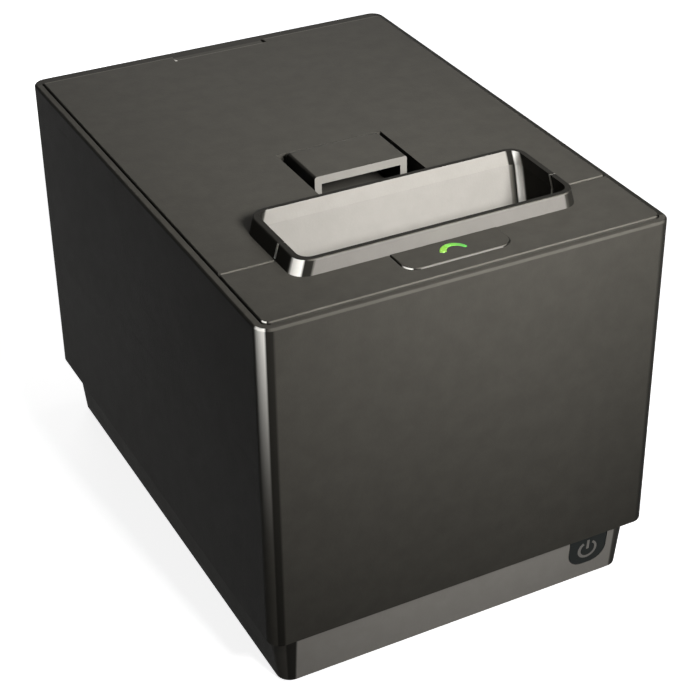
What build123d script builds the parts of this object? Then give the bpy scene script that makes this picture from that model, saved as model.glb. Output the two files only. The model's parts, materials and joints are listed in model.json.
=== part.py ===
"""Desktop receipt printer for 80 mm paper rolls: a clamshell case over a thermal print mechanism.

Millimetres, +X right, +Y to the back, +Z up. The origin is on the standing surface, under the
centre of the case. The lid turns about a rod at the back and carries the platen roller; the
print head, cutter and drive stay in the body.
"""

import os
from math import atan2, cos, degrees, pi, radians, sin, tan

from build123d import *

# ---------------------------------------------------------------- driving dimensions
case_depth = 200.0
top_height = 143.0
case_bottom = 22.5
case_wall = 2.5
case_corner = 5.0
rim_drop = 0.8
rim_round = 1.0
rear_rim = 4.9
tab_reach = 3.1
tab_width = 36.5
opening_gap = 0.3

foot_stand = 1.0
foot_radius = 6.0
foot_recess = 1.2
foot_inset_x = 22.5
foot_inset_y = 20.0
base_wall = 2.2
base_flare = 2.3
base_inset = 5.5
base_height = 24.0

panel_thickness = 2.5
panel_gap = 0.3
panel_round = 0.5
seam_setback = 34.5
seam_gap = 0.5

collar_half_width = 51.2
collar_setback = 20.8
collar_depth = 37.2
collar_rise = 5.5
collar_lean = 1.5
collar_wall = 2.0
collar_corner = 6.0
chute_depth = 14.5
slot_width = 3.4
chute_lean = 4.0

hinge_setback = 20.0
hinge_drop = 5.3
rod_radius = 1.5
running_gap = 0.05

lever_half_width = 17.3
lever_setback = 17.5
lever_length = 22.5
lever_rise = 1.7
lever_thickness = 3.0
lever_edge = 2.5
lever_cheek = 2.5
lever_leg_drop = 8.2
pivot_inset = 6.3
pocket_gap = 2.7
pocket_back_gap = 1.7
pocket_depth = 11.7
pocket_wall = 3.0
pocket_bottom = 1.6
latch_shaft_drop = 6.5
latch_shaft_radius = 2.0
latch_hub_radius = 3.7
hook_gap_x = 1.0
hook_sheet = 2.0
hook_reach = 14.5
hook_gap = 0.3
post_radius = 2.0

button_half_width = 19.0
button_depth = 11.8
button_corner = 5.0
button_gap = 0.25
button_proud = 0.5
button_travel = 0.8
light_width = 1.1

power_inset = 20.85
power_width = 15.1
power_bottom = 7.2
power_corner = 6.0
power_travel = 1.5

roller_radius = 6.0
roller_length = 80.0
roller_setback = 12.5
roller_drop = 32.0
shaft_radius = 2.5
bush_radius = 3.6
head_angle = 30.0
head_gap = 0.3
head_board = 1.0
sink_thickness = 4.0

module = 0.8
tooth_slack = 0.2
centre_slack = 0.12
platen_teeth = 18
idler_teeth = 24
reduction_teeth = 30
pinion_teeth = 12
cutter_teeth = 26
gear_width = 4.0
gear_gap = 3.8
gear_room = 11.8
blade_travel = 7.5

frame_drop = 29.0
frame_sheet = 1.2
frame_margin = 6.2
chassis_gap = 9.5
chassis_wall = 2.5
chassis_foot = 30.0
deck_thickness = 2.5
bucket_radius = 43.0
bucket_setback = 51.0
bucket_drop = 51.0
bucket_margin = 1.0
bucket_wall = 2.0
bucket_top_drop = 17.0

board_z = 9.2
board_thickness = 1.6
board_inset = 23.5
tray_setback = 12.0
tray_inset = 20.0
tray_top = 40.0
tray_sheet = 1.2
port_proud = 0.8
screw_radius = 1.45
screw_clearance = 0.05
screw_head = 2.8
screw_head_height = 1.8

# ---------------------------------------------------------------- derived positions
frame_half_width = roller_length / 2 + frame_margin
wall_inner = frame_half_width + gear_room
chassis_half_width = wall_inner + chassis_wall
inner_half_width = chassis_half_width + chassis_gap
case_width = 2 * (inner_half_width + case_wall)
case_front = -case_depth / 2
case_back = case_depth / 2
rim_z = top_height - rim_drop
foot_x = case_width / 2 - foot_inset_x
foot_y = case_back - foot_inset_y
panel_half_width = inner_half_width - panel_gap
panel_front = case_front + case_wall + panel_gap
panel_back = case_back - rear_rim - 1.0
panel_under = top_height - panel_thickness
seam_y = case_front + seam_setback
lid_front = seam_y + seam_gap / 2
strip_back = seam_y - seam_gap / 2
collar_front = case_front + collar_setback
collar_rear = collar_front + collar_depth
collar_top = top_height + collar_rise
chute_floor = top_height - chute_depth
hinge_y = case_back - hinge_setback
hinge_z = top_height - hinge_drop
base_floor = foot_stand + base_wall
lever_front = collar_rear + lever_setback
lever_back = lever_front + lever_length
lever_pivot_y = lever_back - pivot_inset
pocket_half_width = lever_half_width + pocket_gap
pocket_back = lever_back + pocket_back_gap
pocket_floor = top_height - pocket_depth
shaft_z = top_height - latch_shaft_drop
button_front = collar_front - panel_gap / 2 - button_depth
power_x = case_width / 2 - power_inset
roller_y = collar_rear - roller_setback
roller_z = top_height - roller_drop
frame_inner = frame_half_width - frame_sheet
frame_floor = roller_z - frame_drop
gear_x = frame_half_width + gear_gap
hook_x = chassis_half_width + hook_gap_x
deck_top = frame_floor
bucket_y = hinge_y - bucket_setback
bucket_z = top_height - bucket_drop
bucket_half_width = roller_length / 2 + bucket_margin
bucket_top = top_height - bucket_top_drop
board_top = board_z + board_thickness
board_half_width = case_width / 2 - board_inset
tray_face_y = case_back - tray_setback
tray_half_width = case_width / 2 - tray_inset


# ---------------------------------------------------------------- shared shapes
def plate(plane, outline, thickness, mode=Mode.ADD):
    """Extrude a closed outline, given as points on a plane."""
    with BuildSketch(plane) as face:
        with BuildLine():
            Polyline(*outline, close=True)
        make_face()
    extrude(face.sketch, amount=thickness, mode=mode)


def block(x_range, y_range, z_range, mode=Mode.ADD):
    """A square-edged block between three pairs of limits."""
    with BuildSketch(Plane.XY.offset(z_range[0])) as face:
        with Locations(((x_range[0] + x_range[1]) / 2, (y_range[0] + y_range[1]) / 2)):
            Rectangle(x_range[1] - x_range[0], y_range[1] - y_range[0])
    extrude(face.sketch, amount=z_range[1] - z_range[0], mode=mode)


def round_bar(plane, centre, radius, length, mode=Mode.ADD):
    """A round bar along a plane's normal."""
    with BuildSketch(plane) as face:
        with Locations(centre):
            Circle(radius)
    extrude(face.sketch, amount=length, mode=mode)


def rounded_block(half_width, front, back, z_range, corner, mode=Mode.ADD):
    """A block symmetric about x = 0 with round upright corners."""
    with BuildSketch(Plane.XY.offset(z_range[0])) as face:
        with Locations((0, (front + back) / 2)):
            RectangleRounded(2 * half_width, back - front, corner)
    extrude(face.sketch, amount=z_range[1] - z_range[0], mode=mode)


def base_outside(inset=0.0, lift=0.0):
    """The base pan's flared outside, or its inside when an inset and a lift are given."""
    with BuildPart() as body:
        with BuildSketch(Plane.XY.offset(foot_stand + lift)):
            RectangleRounded(
                case_width - 2 * (base_inset + inset),
                case_depth - 2 * (base_inset + inset),
                case_corner - inset,
            )
        extrude(amount=base_height, taper=-degrees(atan2(base_flare, base_height)))
    return body.part


def gear_outline(teeth, first_tooth):
    """Corner points of a straight-flanked spur gear; first_tooth is a tooth's direction in degrees."""
    pitch_radius = module * teeth / 2
    tip_radius = pitch_radius + 0.95 * module
    root_radius = pitch_radius - 1.2 * module
    half_tooth = (pi * module - tooth_slack) / 4
    slope = tan(radians(20))
    tip_half = degrees((half_tooth - 0.95 * module * slope) / tip_radius)
    root_half = degrees((half_tooth + 1.2 * module * slope) / root_radius)
    points = []
    for tooth in range(teeth):
        middle = first_tooth + 360 * tooth / teeth
        for radius, turn in (
            (root_radius, -root_half),
            (tip_radius, -tip_half),
            (tip_radius, tip_half),
            (root_radius, root_half),
        ):
            angle = radians(middle + turn)
            points.append((radius * cos(angle), radius * sin(angle)))
    return points


def spur_gear(centre, teeth, first_tooth, bore, x_start=gear_x, width=gear_width):
    """A spur gear across the printer, on an axis along X at a (y, z) centre."""
    plane = Plane(origin=(x_start, centre[0], centre[1]), x_dir=(0, 1, 0), z_dir=(1, 0, 0))
    with BuildPart() as gear:
        with BuildSketch(plane):
            with BuildLine():
                Polyline(*gear_outline(teeth, first_tooth), close=True)
            make_face()
            Circle(bore, mode=Mode.SUBTRACT)
        extrude(amount=width)
    return gear.part


def next_gear(centre, teeth, first_tooth, direction, next_teeth):
    """Centre and tooth direction of a gear meshing with this one in the given direction."""
    distance = module * (teeth + next_teeth) / 2 + centre_slack
    next_centre = (
        centre[0] + distance * cos(radians(direction)),
        centre[1] + distance * sin(radians(direction)),
    )
    pitch_angle = 360 / teeth
    ahead = (first_tooth - direction) % pitch_angle
    next_gap = direction + 180 - ahead * teeth / next_teeth
    return next_centre, next_gap + 180 / next_teeth


def screws(places, seat_z, length, points_up):
    """Pan-head screws at (x, y) places, their heads seated at seat_z."""
    way = 1 if points_up else -1
    with BuildPart() as group:
        with BuildSketch(Plane.XY.offset(seat_z)):
            with Locations(*places):
                Circle(screw_radius)
        extrude(amount=way * length)
        with BuildSketch(Plane.XY.offset(seat_z)):
            with Locations(*places):
                Circle(screw_head)
        extrude(amount=-way * screw_head_height)
    return group.part


def side_pair(x_inner, thickness, outline, mode=Mode.ADD):
    """The same y-z outline as a plate on the left and on the right."""
    plate(Plane.YZ.offset(x_inner), outline, thickness, mode)
    plate(Plane.YZ.offset(-x_inner - thickness), outline, thickness, mode)


def cross_bar(centre, radius, x_range, mode=Mode.ADD):
    """A round bar along X at a (y, z) centre."""
    round_bar(Plane.YZ.offset(x_range[0]), centre, radius, x_range[1] - x_range[0], mode)


def four_corners(x, y):
    """The four mirrored places of a rectangle centred on the origin."""
    return [(x, y), (-x, y), (x, -y), (-x, -y)]


os.makedirs("parts", exist_ok=True)

# ---------------------------------------------------------------- base and case
case_post = (case_width / 2 - 12.5, case_back - 15.0)
case_post_radius = 3.5
case_post_foot = 6.3
case_post_top = 45.0
post_hole = screw_radius + screw_clearance
screw_seat = 3.4
chassis_post = (chassis_half_width - 6.5, case_back - 34.0)
chassis_post_radius = 3.6
board_post = (board_half_width - 4.0, case_back - 36.0)
board_post_radius = 3.0
base_rim = foot_stand + base_height
sill_z = 4.9


def power_outline(grow=0.0):
    """Upright outline of the power key: square above, two large round corners below."""
    low = power_bottom - grow
    high = base_rim - 1.6 + grow
    with BuildSketch(Plane.XZ) as face:
        with Locations((power_x, (low + high) / 2)):
            Rectangle(power_width + 2 * grow, high - low)
        fillet(face.vertices().group_by(Axis.Y)[0], power_corner + grow)
    return face.sketch


with BuildPart() as base_pan:
    add(base_outside())
    add(base_outside(base_wall, base_wall), mode=Mode.SUBTRACT)
    with BuildSketch(Plane.XY.offset(base_floor)):
        with Locations(*four_corners(*case_post)):
            Circle(case_post_radius + 1.1)
    extrude(amount=case_post_foot - opening_gap - base_floor)
    with BuildSketch(Plane.XY.offset(base_floor)):
        with Locations(*four_corners(*chassis_post)):
            Circle(chassis_post_radius)
    extrude(amount=chassis_foot - base_floor)
    with BuildSketch(Plane.XY.offset(base_floor)):
        with Locations(*four_corners(*board_post)):
            Circle(board_post_radius)
    extrude(amount=board_z - base_floor)
    with BuildSketch(Plane.XY.offset(foot_stand)):
        with Locations(*four_corners(*case_post)):
            Circle(post_hole)
    extrude(amount=case_post_foot, mode=Mode.SUBTRACT)
    with BuildSketch(Plane.XY.offset(foot_stand)):
        with Locations(*four_corners(*case_post)):
            Circle(screw_head + opening_gap)
    extrude(amount=screw_seat - foot_stand, mode=Mode.SUBTRACT)
    with BuildSketch(Plane.XY.offset(foot_stand)):
        with Locations(*four_corners(foot_x, foot_y)):
            Circle(foot_radius)
    extrude(amount=foot_recess, mode=Mode.SUBTRACT)
    with BuildSketch(Plane.XY.offset(chassis_foot)):
        with Locations(*four_corners(*chassis_post)):
            Circle(post_hole)
    extrude(amount=-10, mode=Mode.SUBTRACT)
    with BuildSketch(Plane.XY.offset(board_z)):
        with Locations(*four_corners(*board_post)):
            Circle(post_hole)
    extrude(amount=base_floor - board_z, mode=Mode.SUBTRACT)
    pan_inside = case_front + base_inset + base_wall + 5
    extrude(
        power_outline(button_gap).moved(Location((0, pan_inside, 0))),
        amount=20,
        mode=Mode.SUBTRACT,
    )
    block(
        (-tray_half_width - opening_gap, tray_half_width + opening_gap),
        (tray_face_y, case_back),
        (sill_z, base_rim + 1),
        Mode.SUBTRACT,
    )
base_pan.part.label = "base_pan"
export_step(base_pan.part, "parts/base_pan.step")

with BuildPart() as rubber_feet:
    with BuildSketch():
        with Locations(*four_corners(foot_x, foot_y)):
            Circle(foot_radius)
    extrude(amount=foot_stand + foot_recess)
    chamfer(rubber_feet.edges().group_by(Axis.Z)[0], 0.5)
rubber_feet.part.label = "rubber_feet"
export_step(rubber_feet.part, "parts/rubber_feet.step")

base_screws = screws(four_corners(*case_post), screw_seat, 12.0, True)
base_screws.label = "base_screws"
export_step(base_screws, "parts/base_screws.step")

ledge_reach = 1.5
ledge_height = 2.5
rib_thickness = 2.0
rib_drop = 6.0
with BuildPart() as outer_casing:
    with BuildSketch(Plane.XY.offset(case_bottom)):
        RectangleRounded(case_width, case_depth, case_corner)
    extrude(amount=rim_z - case_bottom)
    fillet(outer_casing.edges().group_by(Axis.Z)[-1], rim_round)
    with BuildSketch(Plane.XY.offset(case_bottom)):
        RectangleRounded(2 * inner_half_width, case_depth - 2 * case_wall, case_corner - case_wall)
    extrude(amount=rim_z - case_bottom, mode=Mode.SUBTRACT)
    rear_inside = case_back - case_wall
    block(
        (-inner_half_width, inner_half_width),
        (case_back - rear_rim, rear_inside),
        (rim_z - ledge_height, rim_z),
    )
    block(
        (-tab_width / 2, tab_width / 2),
        (case_back - rear_rim - tab_reach, rear_inside),
        (rim_z - ledge_height, rim_z),
    )
    for side in (-1, 1):
        edges = sorted((side * inner_half_width, side * (inner_half_width - ledge_reach)))
        block(edges, (case_front + case_wall, hinge_y - 10), (panel_under - ledge_height, panel_under))
        post_side = sorted((side * case_post[0], side * inner_half_width))
        for end in (-1, 1):
            middle = end * case_post[1]
            wall_end = sorted((middle, end * rear_inside))
            rib = (middle - rib_thickness / 2, middle + rib_thickness / 2)
            cross = (
                side * case_post[0] - rib_thickness / 2,
                side * case_post[0] + rib_thickness / 2,
            )
            block(post_side, rib, (base_rim + 2, case_post_top))
            block(cross, wall_end, (base_rim + 2, case_post_top))
    with BuildSketch(Plane.XY.offset(case_post_foot)):
        with Locations(*four_corners(*case_post)):
            Circle(case_post_radius)
    extrude(amount=case_post_top - case_post_foot)
    with BuildSketch(Plane.XY.offset(case_post_foot)):
        with Locations(*four_corners(*case_post)):
            Circle(post_hole)
    extrude(amount=20, mode=Mode.SUBTRACT)
    block(
        (-tray_half_width - opening_gap, tray_half_width + opening_gap),
        (rear_inside - 1, case_back + 1),
        (case_bottom - 1, tray_top + opening_gap),
        Mode.SUBTRACT,
    )
outer_casing.part.label = "outer_casing"
export_step(outer_casing.part, "parts/outer_casing.step")

# ---------------------------------------------------------------- power key
key_back = case_front + base_inset + 2.6
switch_front = case_front + 16.0
switch_right = power_x - 2.65
key_arm = (power_x - 5.5, power_x - 2.5)
key_arm_end = switch_front - 1.5 - power_travel - 0.3
with BuildPart() as power_button:
    extrude(power_outline().moved(Location((0, key_back, 0))), amount=10)
    add(base_outside(), mode=Mode.INTERSECT)
    extrude(power_outline(1.2).moved(Location((0, key_back + 1.2, 0))), amount=1.2)
    block(key_arm, (key_back + 1.2, key_arm_end), (board_top + 2.2, board_top + 5.2))
power_button.part.label = "power_button"
export_step(power_button.part, "parts/power_button.step")

with BuildPart() as power_switch:
    body_y = (switch_front, switch_front + 12)
    block((switch_right - 6, switch_right), body_y, (board_top, board_top + 7))
    round_bar(Plane.XZ.offset(-switch_front), (power_x - 4, board_top + 3.7), 1.2, 1.5)
power_switch.part.label = "power_switch"
export_step(power_switch.part, "parts/power_switch.step")

# ---------------------------------------------------------------- paper chute and collar
chute_inner = collar_half_width - collar_wall
chute_under = chute_floor - 2.0
inner_front = collar_front + collar_wall
inner_rear = collar_rear - collar_wall
slot_front = strip_back - 0.5
foot_rear = inner_rear - chute_lean

with BuildPart() as chute:
    rounded_block(
        collar_half_width, collar_front, collar_rear, (chute_under, top_height), collar_corner
    )
    with BuildSketch(Plane.XY.offset(top_height)) as collar_foot:
        with Locations((0, (collar_front + collar_rear) / 2)):
            RectangleRounded(2 * collar_half_width, collar_rear - collar_front, collar_corner)
    with BuildSketch(Plane.XY.offset(collar_top)) as collar_lip:
        with Locations((0, (collar_front + collar_rear) / 2)):
            RectangleRounded(
                2 * (collar_half_width - collar_lean), collar_rear - collar_front, collar_corner
            )
    loft([collar_foot.sketch, collar_lip.sketch])
    fillet(chute.edges().group_by(Axis.Z)[-1], panel_round)
    with BuildSketch(Plane.XY.offset(chute_floor)) as well_foot:
        with Locations((0, (inner_front + foot_rear) / 2)):
            RectangleRounded(2 * chute_inner, foot_rear - inner_front, collar_corner - collar_wall)
    with BuildSketch(Plane.XY.offset(top_height)) as well_top:
        with Locations((0, (inner_front + inner_rear) / 2)):
            RectangleRounded(2 * chute_inner, inner_rear - inner_front, collar_corner - collar_wall)
    loft([well_foot.sketch, well_top.sketch], mode=Mode.SUBTRACT)
    with BuildSketch(Plane.XY.offset(top_height)) as mouth_foot:
        with Locations((0, (inner_front + inner_rear) / 2)):
            RectangleRounded(2 * chute_inner, inner_rear - inner_front, collar_corner - collar_wall)
    with BuildSketch(Plane.XY.offset(collar_top)) as mouth_lip:
        with Locations((0, (inner_front + inner_rear) / 2)):
            RectangleRounded(
                2 * (chute_inner - collar_lean), inner_rear - inner_front, collar_corner - collar_wall
            )
    loft([mouth_foot.sketch, mouth_lip.sketch], mode=Mode.SUBTRACT)
    with BuildSketch(Plane.YZ.offset(-chute_inner)) as slopes:
        with BuildLine():
            Polyline(
                (inner_front - 0.2, chute_floor - 0.2),
                (inner_front - 0.2, chute_floor + 6.5),
                (inner_front, chute_floor + 6.5),
                (inner_front + 5.5, chute_floor),
                (inner_front + 5.5, chute_floor - 0.2),
                close=True,
            )
        make_face()
    extrude(slopes.sketch, amount=2 * chute_inner)
    block(
        (-roller_length / 2 - 2, roller_length / 2 + 2),
        (slot_front, slot_front + slot_width),
        (chute_under - 1, chute_floor + 1),
        Mode.SUBTRACT,
    )

chute_front = split(chute.part, bisect_by=Plane.XZ.offset(-strip_back), keep=Keep.TOP)
chute_rear = split(chute.part, bisect_by=Plane.XZ.offset(-lid_front), keep=Keep.BOTTOM)

# ---------------------------------------------------------------- front panel and feed key
key_rear = collar_front - panel_gap
key_middle = (key_rear + button_front) / 2
key_board_z = top_height - 12.0
key_post = (26.0, case_front + 14.0)
key_places = [key_post, (-key_post[0], key_post[1])]
key_board_half = key_post[0] + 4.0
key_post_radius = 2.5


def feed_outline(grow=0.0):
    """Plan of the feed key: square at the back, two round corners at the front."""
    with BuildSketch(Plane.XY) as face:
        with Locations((0, key_middle)):
            Rectangle(2 * (button_half_width + grow), key_rear - button_front + 2 * grow)
        fillet(face.vertices().group_by(Axis.Y)[0], button_corner + grow)
    return face.sketch


with BuildPart() as front_panel:
    with BuildSketch(Plane.XY.offset(panel_under)) as strip:
        with Locations((0, (panel_front + strip_back) / 2)):
            Rectangle(2 * panel_half_width, strip_back - panel_front)
        fillet(strip.vertices().group_by(Axis.Y)[0], case_corner - case_wall)
    extrude(amount=panel_thickness)
    fillet(front_panel.faces().sort_by(Axis.Z)[-1].edges(), panel_round)
    rounded_block(
        collar_half_width - 0.5,
        collar_front + 0.5,
        collar_rear,
        (panel_under, top_height),
        collar_corner - 0.5,
        Mode.SUBTRACT,
    )
    add(chute_front)
    extrude(
        feed_outline(button_gap).moved(Location((0, 0, panel_under))),
        amount=panel_thickness,
        mode=Mode.SUBTRACT,
    )
    with BuildSketch(Plane.XY.offset(key_board_z + board_thickness)):
        with Locations(*key_places):
            Circle(key_post_radius)
    extrude(amount=panel_under - key_board_z - board_thickness)
    for x_low in (-inner_half_width + 2, inner_half_width - 3.5):
        strip_rib = (case_front + 6, strip_back - 2.25)
        block((x_low, x_low + ledge_reach), strip_rib, (panel_under - rib_drop, panel_under))
    with BuildSketch(Plane.XY.offset(key_board_z + board_thickness)):
        with Locations(*key_places):
            Circle(post_hole)
    extrude(amount=6, mode=Mode.SUBTRACT)
front_panel.part.label = "front_panel"
export_step(front_panel.part, "parts/front_panel.step")

light_radius = 4.0
light_sweep = 150.0
light_centre = (0, key_middle - 1.7)
light_tip = light_centre[1] + light_radius
light_depth = 9.0
key_top = top_height + button_proud
key_skirt = panel_under - 0.4
stem_x = 11.0
stem_radius = 2.5
switch_top = key_board_z + board_thickness + 3.4
with BuildSketch(Plane.XY.offset(key_top)) as light_face:
    with BuildLine() as light_line:
        light_path = CenterArc(light_centre, light_radius, 90 - light_sweep / 2, light_sweep)
    SlotArc(light_path, light_width)

with BuildPart() as feed_button:
    extrude(feed_outline().moved(Location((0, 0, key_skirt))), amount=key_top - key_skirt)
    fillet(feed_button.faces().sort_by(Axis.Z)[-1].edges(), 0.4)
    extrude(feed_outline(1.2).moved(Location((0, 0, key_skirt - 1.4))), amount=1.4)
    block((-25, 25), (key_rear, key_rear + 3), (key_skirt - 2, key_skirt + 1), Mode.SUBTRACT)
    block(
        (-button_half_width + 1.5, button_half_width - 1.5),
        (button_front + 1.5, key_rear - 1.5),
        (key_skirt - 2, key_top - 1.8),
        Mode.SUBTRACT,
    )
    round_bar(
        Plane.XY.offset(switch_top + button_travel + 0.2),
        (stem_x, key_middle),
        stem_radius,
        key_top - 1.8 - switch_top - button_travel - 0.2,
    )
    extrude(light_face.sketch, amount=-light_depth, mode=Mode.SUBTRACT)
feed_button.part.label = "feed_button"
export_step(feed_button.part, "parts/feed_button.step")

with BuildPart() as status_light:
    extrude(light_face.sketch, amount=-light_depth + 1)
status_light.part.label = "status_light"
export_step(status_light.part, "parts/status_light.step")

with BuildPart() as key_board:
    key_board_y = (case_front + 7.5, key_rear - 0.5)
    block((-key_board_half, key_board_half), key_board_y, (key_board_z, key_board_z + board_thickness))
    with BuildSketch(Plane.XY.offset(key_board_z)):
        with Locations(*key_places):
            Circle(post_hole)
    extrude(amount=board_thickness, mode=Mode.SUBTRACT)
key_board.part.label = "key_board"
export_step(key_board.part, "parts/key_board.step")

with BuildPart() as feed_switch:
    block(
        (stem_x - 3, stem_x + 3),
        (key_middle - 3, key_middle + 3),
        (key_board_z + board_thickness, switch_top - 1),
    )
    round_bar(Plane.XY.offset(switch_top - 1), (stem_x, key_middle), 1.6, 1)
feed_switch.part.label = "feed_switch"
export_step(feed_switch.part, "parts/feed_switch.step")

with BuildPart() as status_lamp:
    lamp_y = (light_tip - 1.6, light_tip + 0.6)
    block((-1.6, 1.6), lamp_y, (key_board_z + board_thickness, switch_top - 2.4))
status_lamp.part.label = "status_lamp"
export_step(status_lamp.part, "parts/status_lamp.step")

key_screws = screws(key_places, key_board_z, 6.0, True)
key_screws.label = "key_screws"
export_step(key_screws, "parts/key_screws.step")

# ---------------------------------------------------------------- lid
lug_x = (wall_inner - 3.5, wall_inner - 0.5)
shaft_lug_x = (wall_inner - 6.2, wall_inner - 3.7)
holder_post = (30.0, collar_rear - 4.0)
holder_places = [holder_post, (-holder_post[0], holder_post[1])]
holder_post_radius = 3.5
holder_flange = (roller_z + 12.3, roller_z + 13.5)
switch_y = lever_pivot_y - 20.7
plunger_top = top_height - 27.8

with BuildPart() as lid:
    rounded_block(panel_half_width, lid_front, panel_back, (panel_under, top_height), 1.0)
    block(
        (-tab_width / 2 - panel_gap, tab_width / 2 + panel_gap),
        (panel_back - tab_reach - 0.2, panel_back + 1),
        (panel_under - 1, top_height + 1),
        Mode.SUBTRACT,
    )
    fillet(lid.faces().sort_by(Axis.Z)[-1].edges(), panel_round)
    rounded_block(
        collar_half_width - 0.5,
        collar_front,
        collar_rear - 0.5,
        (panel_under, top_height),
        collar_corner - 0.5,
        Mode.SUBTRACT,
    )
    add(chute_rear)
    rounded_block(
        pocket_half_width + pocket_wall,
        collar_rear - 0.5,
        pocket_back + 2,
        (pocket_floor - pocket_bottom, panel_under + 1),
        1.5,
    )
    block(
        (-pocket_half_width, pocket_half_width),
        (collar_rear, pocket_back),
        (pocket_floor, top_height + 1),
        Mode.SUBTRACT,
    )
    for x_low in (-inner_half_width + 2.5, inner_half_width - 4):
        lid_rib = (collar_rear - 18, hinge_y - 10)
        block((x_low, x_low + ledge_reach), lid_rib, (panel_under - rib_drop, panel_under))
    side_pair(
        lug_x[0],
        lug_x[1] - lug_x[0],
        [
            (hinge_y - 4, panel_under),
            (hinge_y + 4, panel_under),
            (hinge_y + 2.4, hinge_z - 1.5),
            (hinge_y - 2.4, hinge_z - 1.5),
        ],
    )
    for x_low in (lug_x[0], -lug_x[1]):
        cross_bar((hinge_y, hinge_z), 2.8, (x_low, x_low + lug_x[1] - lug_x[0]))
    side_pair(
        shaft_lug_x[0],
        shaft_lug_x[1] - shaft_lug_x[0],
        [
            (lever_pivot_y - 6, panel_under),
            (lever_pivot_y + 6, panel_under),
            (lever_pivot_y + 3.2, shaft_z - 1.5),
            (lever_pivot_y - 3.2, shaft_z - 1.5),
        ],
    )
    for x_low in (shaft_lug_x[0], -shaft_lug_x[1]):
        cross_bar(
            (lever_pivot_y, shaft_z),
            latch_hub_radius,
            (x_low, x_low + shaft_lug_x[1] - shaft_lug_x[0]),
        )
    side_pair(
        holder_post[0] - holder_post_radius,
        2 * holder_post_radius,
        [
            (holder_post[1] - holder_post_radius, holder_flange[1]),
            (holder_post[1] + holder_post_radius, holder_flange[1]),
            (holder_post[1] + holder_post_radius, chute_floor - 1),
            (holder_post[1] - holder_post_radius, chute_floor - 1),
        ],
    )
    cross_bar((hinge_y, hinge_z), rod_radius + running_gap, (-hook_x, hook_x), Mode.SUBTRACT)
    cross_bar(
        (lever_pivot_y, shaft_z), latch_shaft_radius + running_gap, (-hook_x, hook_x), Mode.SUBTRACT
    )
    with BuildSketch(Plane.XY.offset(holder_flange[1])):
        with Locations(*holder_places):
            Circle(post_hole)
    extrude(amount=5.5, mode=Mode.SUBTRACT)
    finger_x = (1.5 - wall_inner, 4.5 - wall_inner)
    block(finger_x, (switch_y + 5.5, switch_y + 8.5), (plunger_top + 0.4, panel_under))
lid.part.label = "lid"
export_step(lid.part, "parts/lid.step")

# ---------------------------------------------------------------- release lever and latch
lever_top = top_height + lever_rise
lever_under = lever_top - lever_thickness
leg_foot = lever_under - lever_leg_drop
with BuildPart() as release_lever:
    block(
        (-lever_half_width, lever_half_width),
        (lever_front, lever_back),
        (lever_under, lever_top),
    )
    fillet(release_lever.edges().filter_by(Axis.X).group_by(Axis.Z)[-1].sort_by(Axis.Y)[-1], lever_edge)
    fillet(release_lever.edges().filter_by(Axis.Z).group_by(Axis.Y)[-1], 1.0)
    side_pair(
        lever_half_width - lever_cheek,
        lever_cheek,
        [
            (lever_front, lever_under),
            (lever_front, leg_foot),
            (lever_front + 3, leg_foot),
            (lever_pivot_y - 3, shaft_z - 3),
            (lever_pivot_y + 3, shaft_z - 2.4),
            (lever_back - 0.5, lever_under),
        ],
    )
    for x_low in (lever_half_width - lever_cheek, -lever_half_width):
        cross_bar((lever_pivot_y, shaft_z), latch_hub_radius + 0.5, (x_low, x_low + lever_cheek))
    cross_bar(
        (lever_pivot_y, shaft_z),
        latch_shaft_radius,
        (-lever_half_width - 1, lever_half_width + 1),
        Mode.SUBTRACT,
    )
release_lever.part.label = "release_lever"
export_step(release_lever.part, "parts/release_lever.step")

latch_half_length = hook_x + hook_sheet + 0.6
with BuildPart() as latch_shaft:
    cross_bar((lever_pivot_y, shaft_z), latch_shaft_radius, (-latch_half_length, latch_half_length))
    chamfer(latch_shaft.edges().filter_by(GeomType.CIRCLE), 0.4)
latch_shaft.part.label = "latch_shaft"
export_step(latch_shaft.part, "parts/latch_shaft.step")

nose_y = lever_pivot_y + 5.3
nose_z = shaft_z - hook_reach
with BuildPart() as latch_hooks:
    side_pair(
        hook_x,
        hook_sheet,
        [
            (lever_pivot_y - 2.6, shaft_z - 2),
            (lever_pivot_y - 2.6, nose_z + 1.5),
            (lever_pivot_y - 0.5, nose_z),
            (nose_y - 2.2, nose_z),
            (nose_y, nose_z + 3.2),
            (lever_pivot_y + 2, nose_z + 4),
            (lever_pivot_y + 2.6, shaft_z - 2),
        ],
    )
    for x_low in (hook_x, -hook_x - hook_sheet):
        cross_bar((lever_pivot_y, shaft_z), latch_hub_radius, (x_low, x_low + hook_sheet))
    shaft_place = (lever_pivot_y, shaft_z)
    cross_bar(shaft_place, latch_shaft_radius, (-inner_half_width, inner_half_width), Mode.SUBTRACT)
latch_hooks.part.label = "latch_hooks"
export_step(latch_hooks.part, "parts/latch_hooks.step")

spring_wire = 0.4
wire_sides = 6
spring_radius = latch_shaft_radius + 1.0
with BuildPart() as lever_spring:
    with BuildLine() as coil:
        Helix(
            1.3,
            6.5,
            spring_radius,
            center=(pocket_half_width + pocket_wall + 2, lever_pivot_y, shaft_z),
            direction=(1, 0, 0),
        )
    with BuildSketch(Plane(origin=coil.line @ 0, z_dir=coil.line % 0)):
        RegularPolygon(spring_wire, wire_sides)
    sweep(is_frenet=True)
lever_spring.part.label = "lever_spring"
export_step(lever_spring.part, "parts/lever_spring.step")

with BuildPart() as hinge_rod:
    rod_end = chassis_half_width + 1
    cross_bar((hinge_y, hinge_z), rod_radius, (-rod_end, rod_end))
    chamfer(hinge_rod.edges().filter_by(GeomType.CIRCLE), 0.3)
hinge_rod.part.label = "hinge_rod"
export_step(hinge_rod.part, "parts/hinge_rod.step")

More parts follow.
